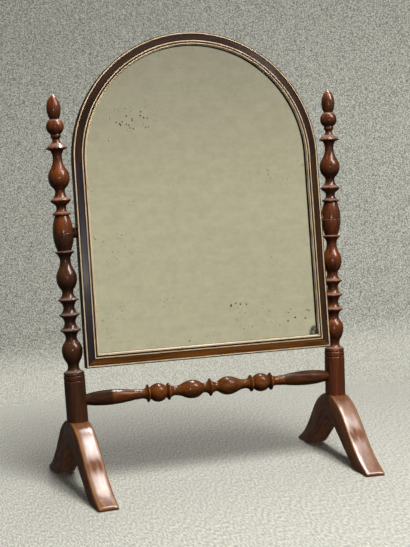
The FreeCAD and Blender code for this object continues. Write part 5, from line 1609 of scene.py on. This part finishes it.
@dataclass
class Studio:
    """Pale floor, seamless backdrop and soft light.

    Attributes:
        room_high, room_side: colours of the dim room, overhead and all round.
        panel_low, panel_high: colours of the lit room that the plate shows, low down and higher.
        wall_left, wall_right: colours of the backdrop as the camera sees it.
        dusk: share of that colour left at the top.
        sweep: colour of the backdrop's foot as the camera sees it.
        sweep_low, sweep_high: slopes of the line of sight at which the foot and the wall are whole.
        mottle: share by which the felt's fibres change its colour.
        boxes: the lights.
        floor_radius, floor_hub: outer and inner radius of the floor's rings.
        floor_rings, floor_spokes: how many there are.
    """

    room_high: Colour = (0.05, 0.049, 0.045)
    room_side: Colour = (0.09, 0.089, 0.082)
    panel_low: Colour = (0.585, 0.548, 0.42)
    panel_high: Colour = (0.402, 0.369, 0.306)
    wall_left: Colour = (0.30, 0.30, 0.257)
    wall_right: Colour = (0.395, 0.395, 0.34)
    dusk: Colour = (0.82, 0.82, 0.82)
    sweep: Colour = (0.545, 0.536, 0.458)
    sweep_low: float = -0.145
    sweep_high: float = -0.105
    mottle: float = 0.85
    boxes: tuple[SoftBox, ...] = (
        SoftBox("overhead_strip", (0.45, 0.4, 2.15), (0.45, 0.2, 0.0), 0.3, 1.8, 6.0, throw=Throw.MATT),
        SoftBox("overhead_glare", (0.45, 0.4, 2.14), (0.45, 0.2, 0.0), 0.3, 1.8, 34.0, throw=Throw.GLINT),
        SoftBox("front_box", (0.15, -1.1, 1.95), (0.0, 0.0, 0.15), 0.7, 1.3, 14.0, throw=Throw.MATT),
        SoftBox("front_glare", (0.95, -1.0, 1.75), (0.0, 0.0, 0.3), 0.6, 1.2, 15.0, throw=Throw.GLINT),
        SoftBox("low_fill", (0.95, -1.65, 0.1), (0.0, 0.0, 0.4), 0.4, 0.3, 14.0, throw=Throw.MATT),
        SoftBox("back_fill", (0.2, 1.7, 0.46), (0.0, 0.0, 0.4), 1.1, 0.55, 3.6, throw=Throw.MATT),
        SoftBox("camera_lamp", (-0.35, -2.2, 0.5), (0.0, 0.0, 0.35), 0.11, 0.11, 110.0),
    )
    floor_radius: float = 2.0
    floor_hub: float = 0.02
    floor_rings: int = 24
    floor_spokes: int = 96

    def light(self) -> None:
        """Hang the lights, and shade the world by direction: a dim room, which is lit where the plate shows it.

        The camera itself sees a backdrop that changes from wall to floor where the line of sight falls by about one
        in eight, as a square room's would.
        """
        for box in self.boxes:
            box.hang()
        world = bpy.data.worlds.new("studio")
        bpy.context.scene.world = world
        world.use_nodes = True
        graph = Graph(world.node_tree)
        way = graph.add("ShaderNodeTexCoord").outputs["Generated"]
        parts = graph.parts(way)
        rays = graph.add("ShaderNodeLightPath").outputs
        panel = graph.blend(graph.spread(parts["Z"], 0.1, 0.29), self.panel_low, self.panel_high)
        room = graph.blend(graph.spread(graph.size(parts["Z"]), 0.1, 0.5), self.room_side, self.room_high)
        seen = graph.blend(rays["Is Transmission Ray"], room, panel)
        far = graph.math("MAXIMUM", graph.size(parts["X"]), graph.size(parts["Y"]))
        slope = graph.add("ShaderNodeMath", {0: parts["Z"], 1: far}, operation="DIVIDE")
        wall = graph.blend(graph.spread(parts["X"], 0.0, 0.5), self.wall_left, self.wall_right)
        level = graph.spread(slope.outputs[0], self.sweep_high, self.sweep_low)
        backdrop = graph.blend(level, wall, self.sweep)
        fibre = graph.spread(graph.noise(way, (980.0, 980.0, 980.0), detail=1.0), 0.3, 0.7)
        shade = graph.blend(graph.times(fibre, self.mottle), (1.5, 1.5, 1.5), (0.36, 0.36, 0.36))
        shade = graph.blend(level, shade, graph.blend(fibre, (1.24, 1.24, 1.24), (0.76, 0.76, 0.76)))
        dusk = graph.blend(graph.spread(parts["Z"], 0.04, 0.2), (1.0, 1.0, 1.0), self.dusk)
        backdrop = graph.blend(1.0, graph.blend(1.0, backdrop, dusk, "MULTIPLY"), shade, "MULTIPLY")
        shown = graph.blend(rays["Is Camera Ray"], seen, backdrop)
        graph.fill(world.node_tree.nodes["Background"], {"Color": shown})

    def floor(self) -> None:
        """Lay the floor, a flat disc whose points are radius times the cosine and sine of each angle.

        It throws no light back up, so that undersides stay as dark as on the real piece.
        """
        rings, spokes = self.floor_rings, self.floor_spokes
        angle = np.linspace(0, 2 * math.pi, spokes, endpoint=False)
        radius = np.linspace(self.floor_hub, self.floor_radius, rings)[:, None]
        points = np.stack([radius * np.cos(angle), radius * np.sin(angle), 0 * radius * angle], axis=2)
        quads = ring_quads(rings, spokes)[:, ::-1]
        mesh = bpy.data.meshes.new("studio_floor")
        mesh.from_pydata(points.reshape(-1, 3).tolist(), [], quads.tolist() + [list(range(spokes))])
        mesh.materials.append(FLOOR.material())
        made = linked("studio_floor", mesh)
        made.visible_diffuse = made.visible_glossy = False


@dataclass
class ViewPoint:
    """Camera at the photograph's viewing angle.

    Attributes:
        eye: where the camera stands.
        right: direction of the image's right side.
        up: direction of the image's top.
        focal: focal length in picture heights.
        slide: how far the optical axis lies left of the picture's middle, in picture heights.
        lift: how far it lies above the picture's middle, in picture heights.
        sensor: long side of the sensor in millimetres.
    """

    eye: Triple = (-0.52005, -1.69683, 0.4182)
    right: Triple = (0.95402, -0.29547, -0.05051)
    up: Triple = (0.05958, 0.02178, 0.99799)
    focal: float = 1114.35 / 547
    slide: float = 0.55 / 547
    lift: float = 20.4 / 547
    sensor: float = 36.0

    def place(self) -> None:
        """Make the camera; its back direction is right x up."""
        data = bpy.data.cameras.new("camera")
        data.sensor_width = self.sensor
        data.lens = self.focal * self.sensor
        data.shift_x, data.shift_y = self.slide, -self.lift
        made = linked("camera", data)
        right, up = Vector(self.right), Vector(self.up)
        turn = Matrix((right, up, right.cross(up))).transposed()
        made.matrix_world = Matrix.Translation(Vector(self.eye)) @ turn.to_4x4()
        bpy.context.scene.camera = made


def main() -> None:
    """Build and dress the object, then set the studio."""
    logging.basicConfig(level=logging.INFO, format="%(message)s")
    Stand().build()
    MirrorFrame().build()
    Glazing().dress()
    Pivots().dress()
    studio = Studio()
    studio.light()
    studio.floor()
    ViewPoint().place()
    bpy.context.scene.view_settings.view_transform = "Standard"


if __name__ == "__main__":
    main()
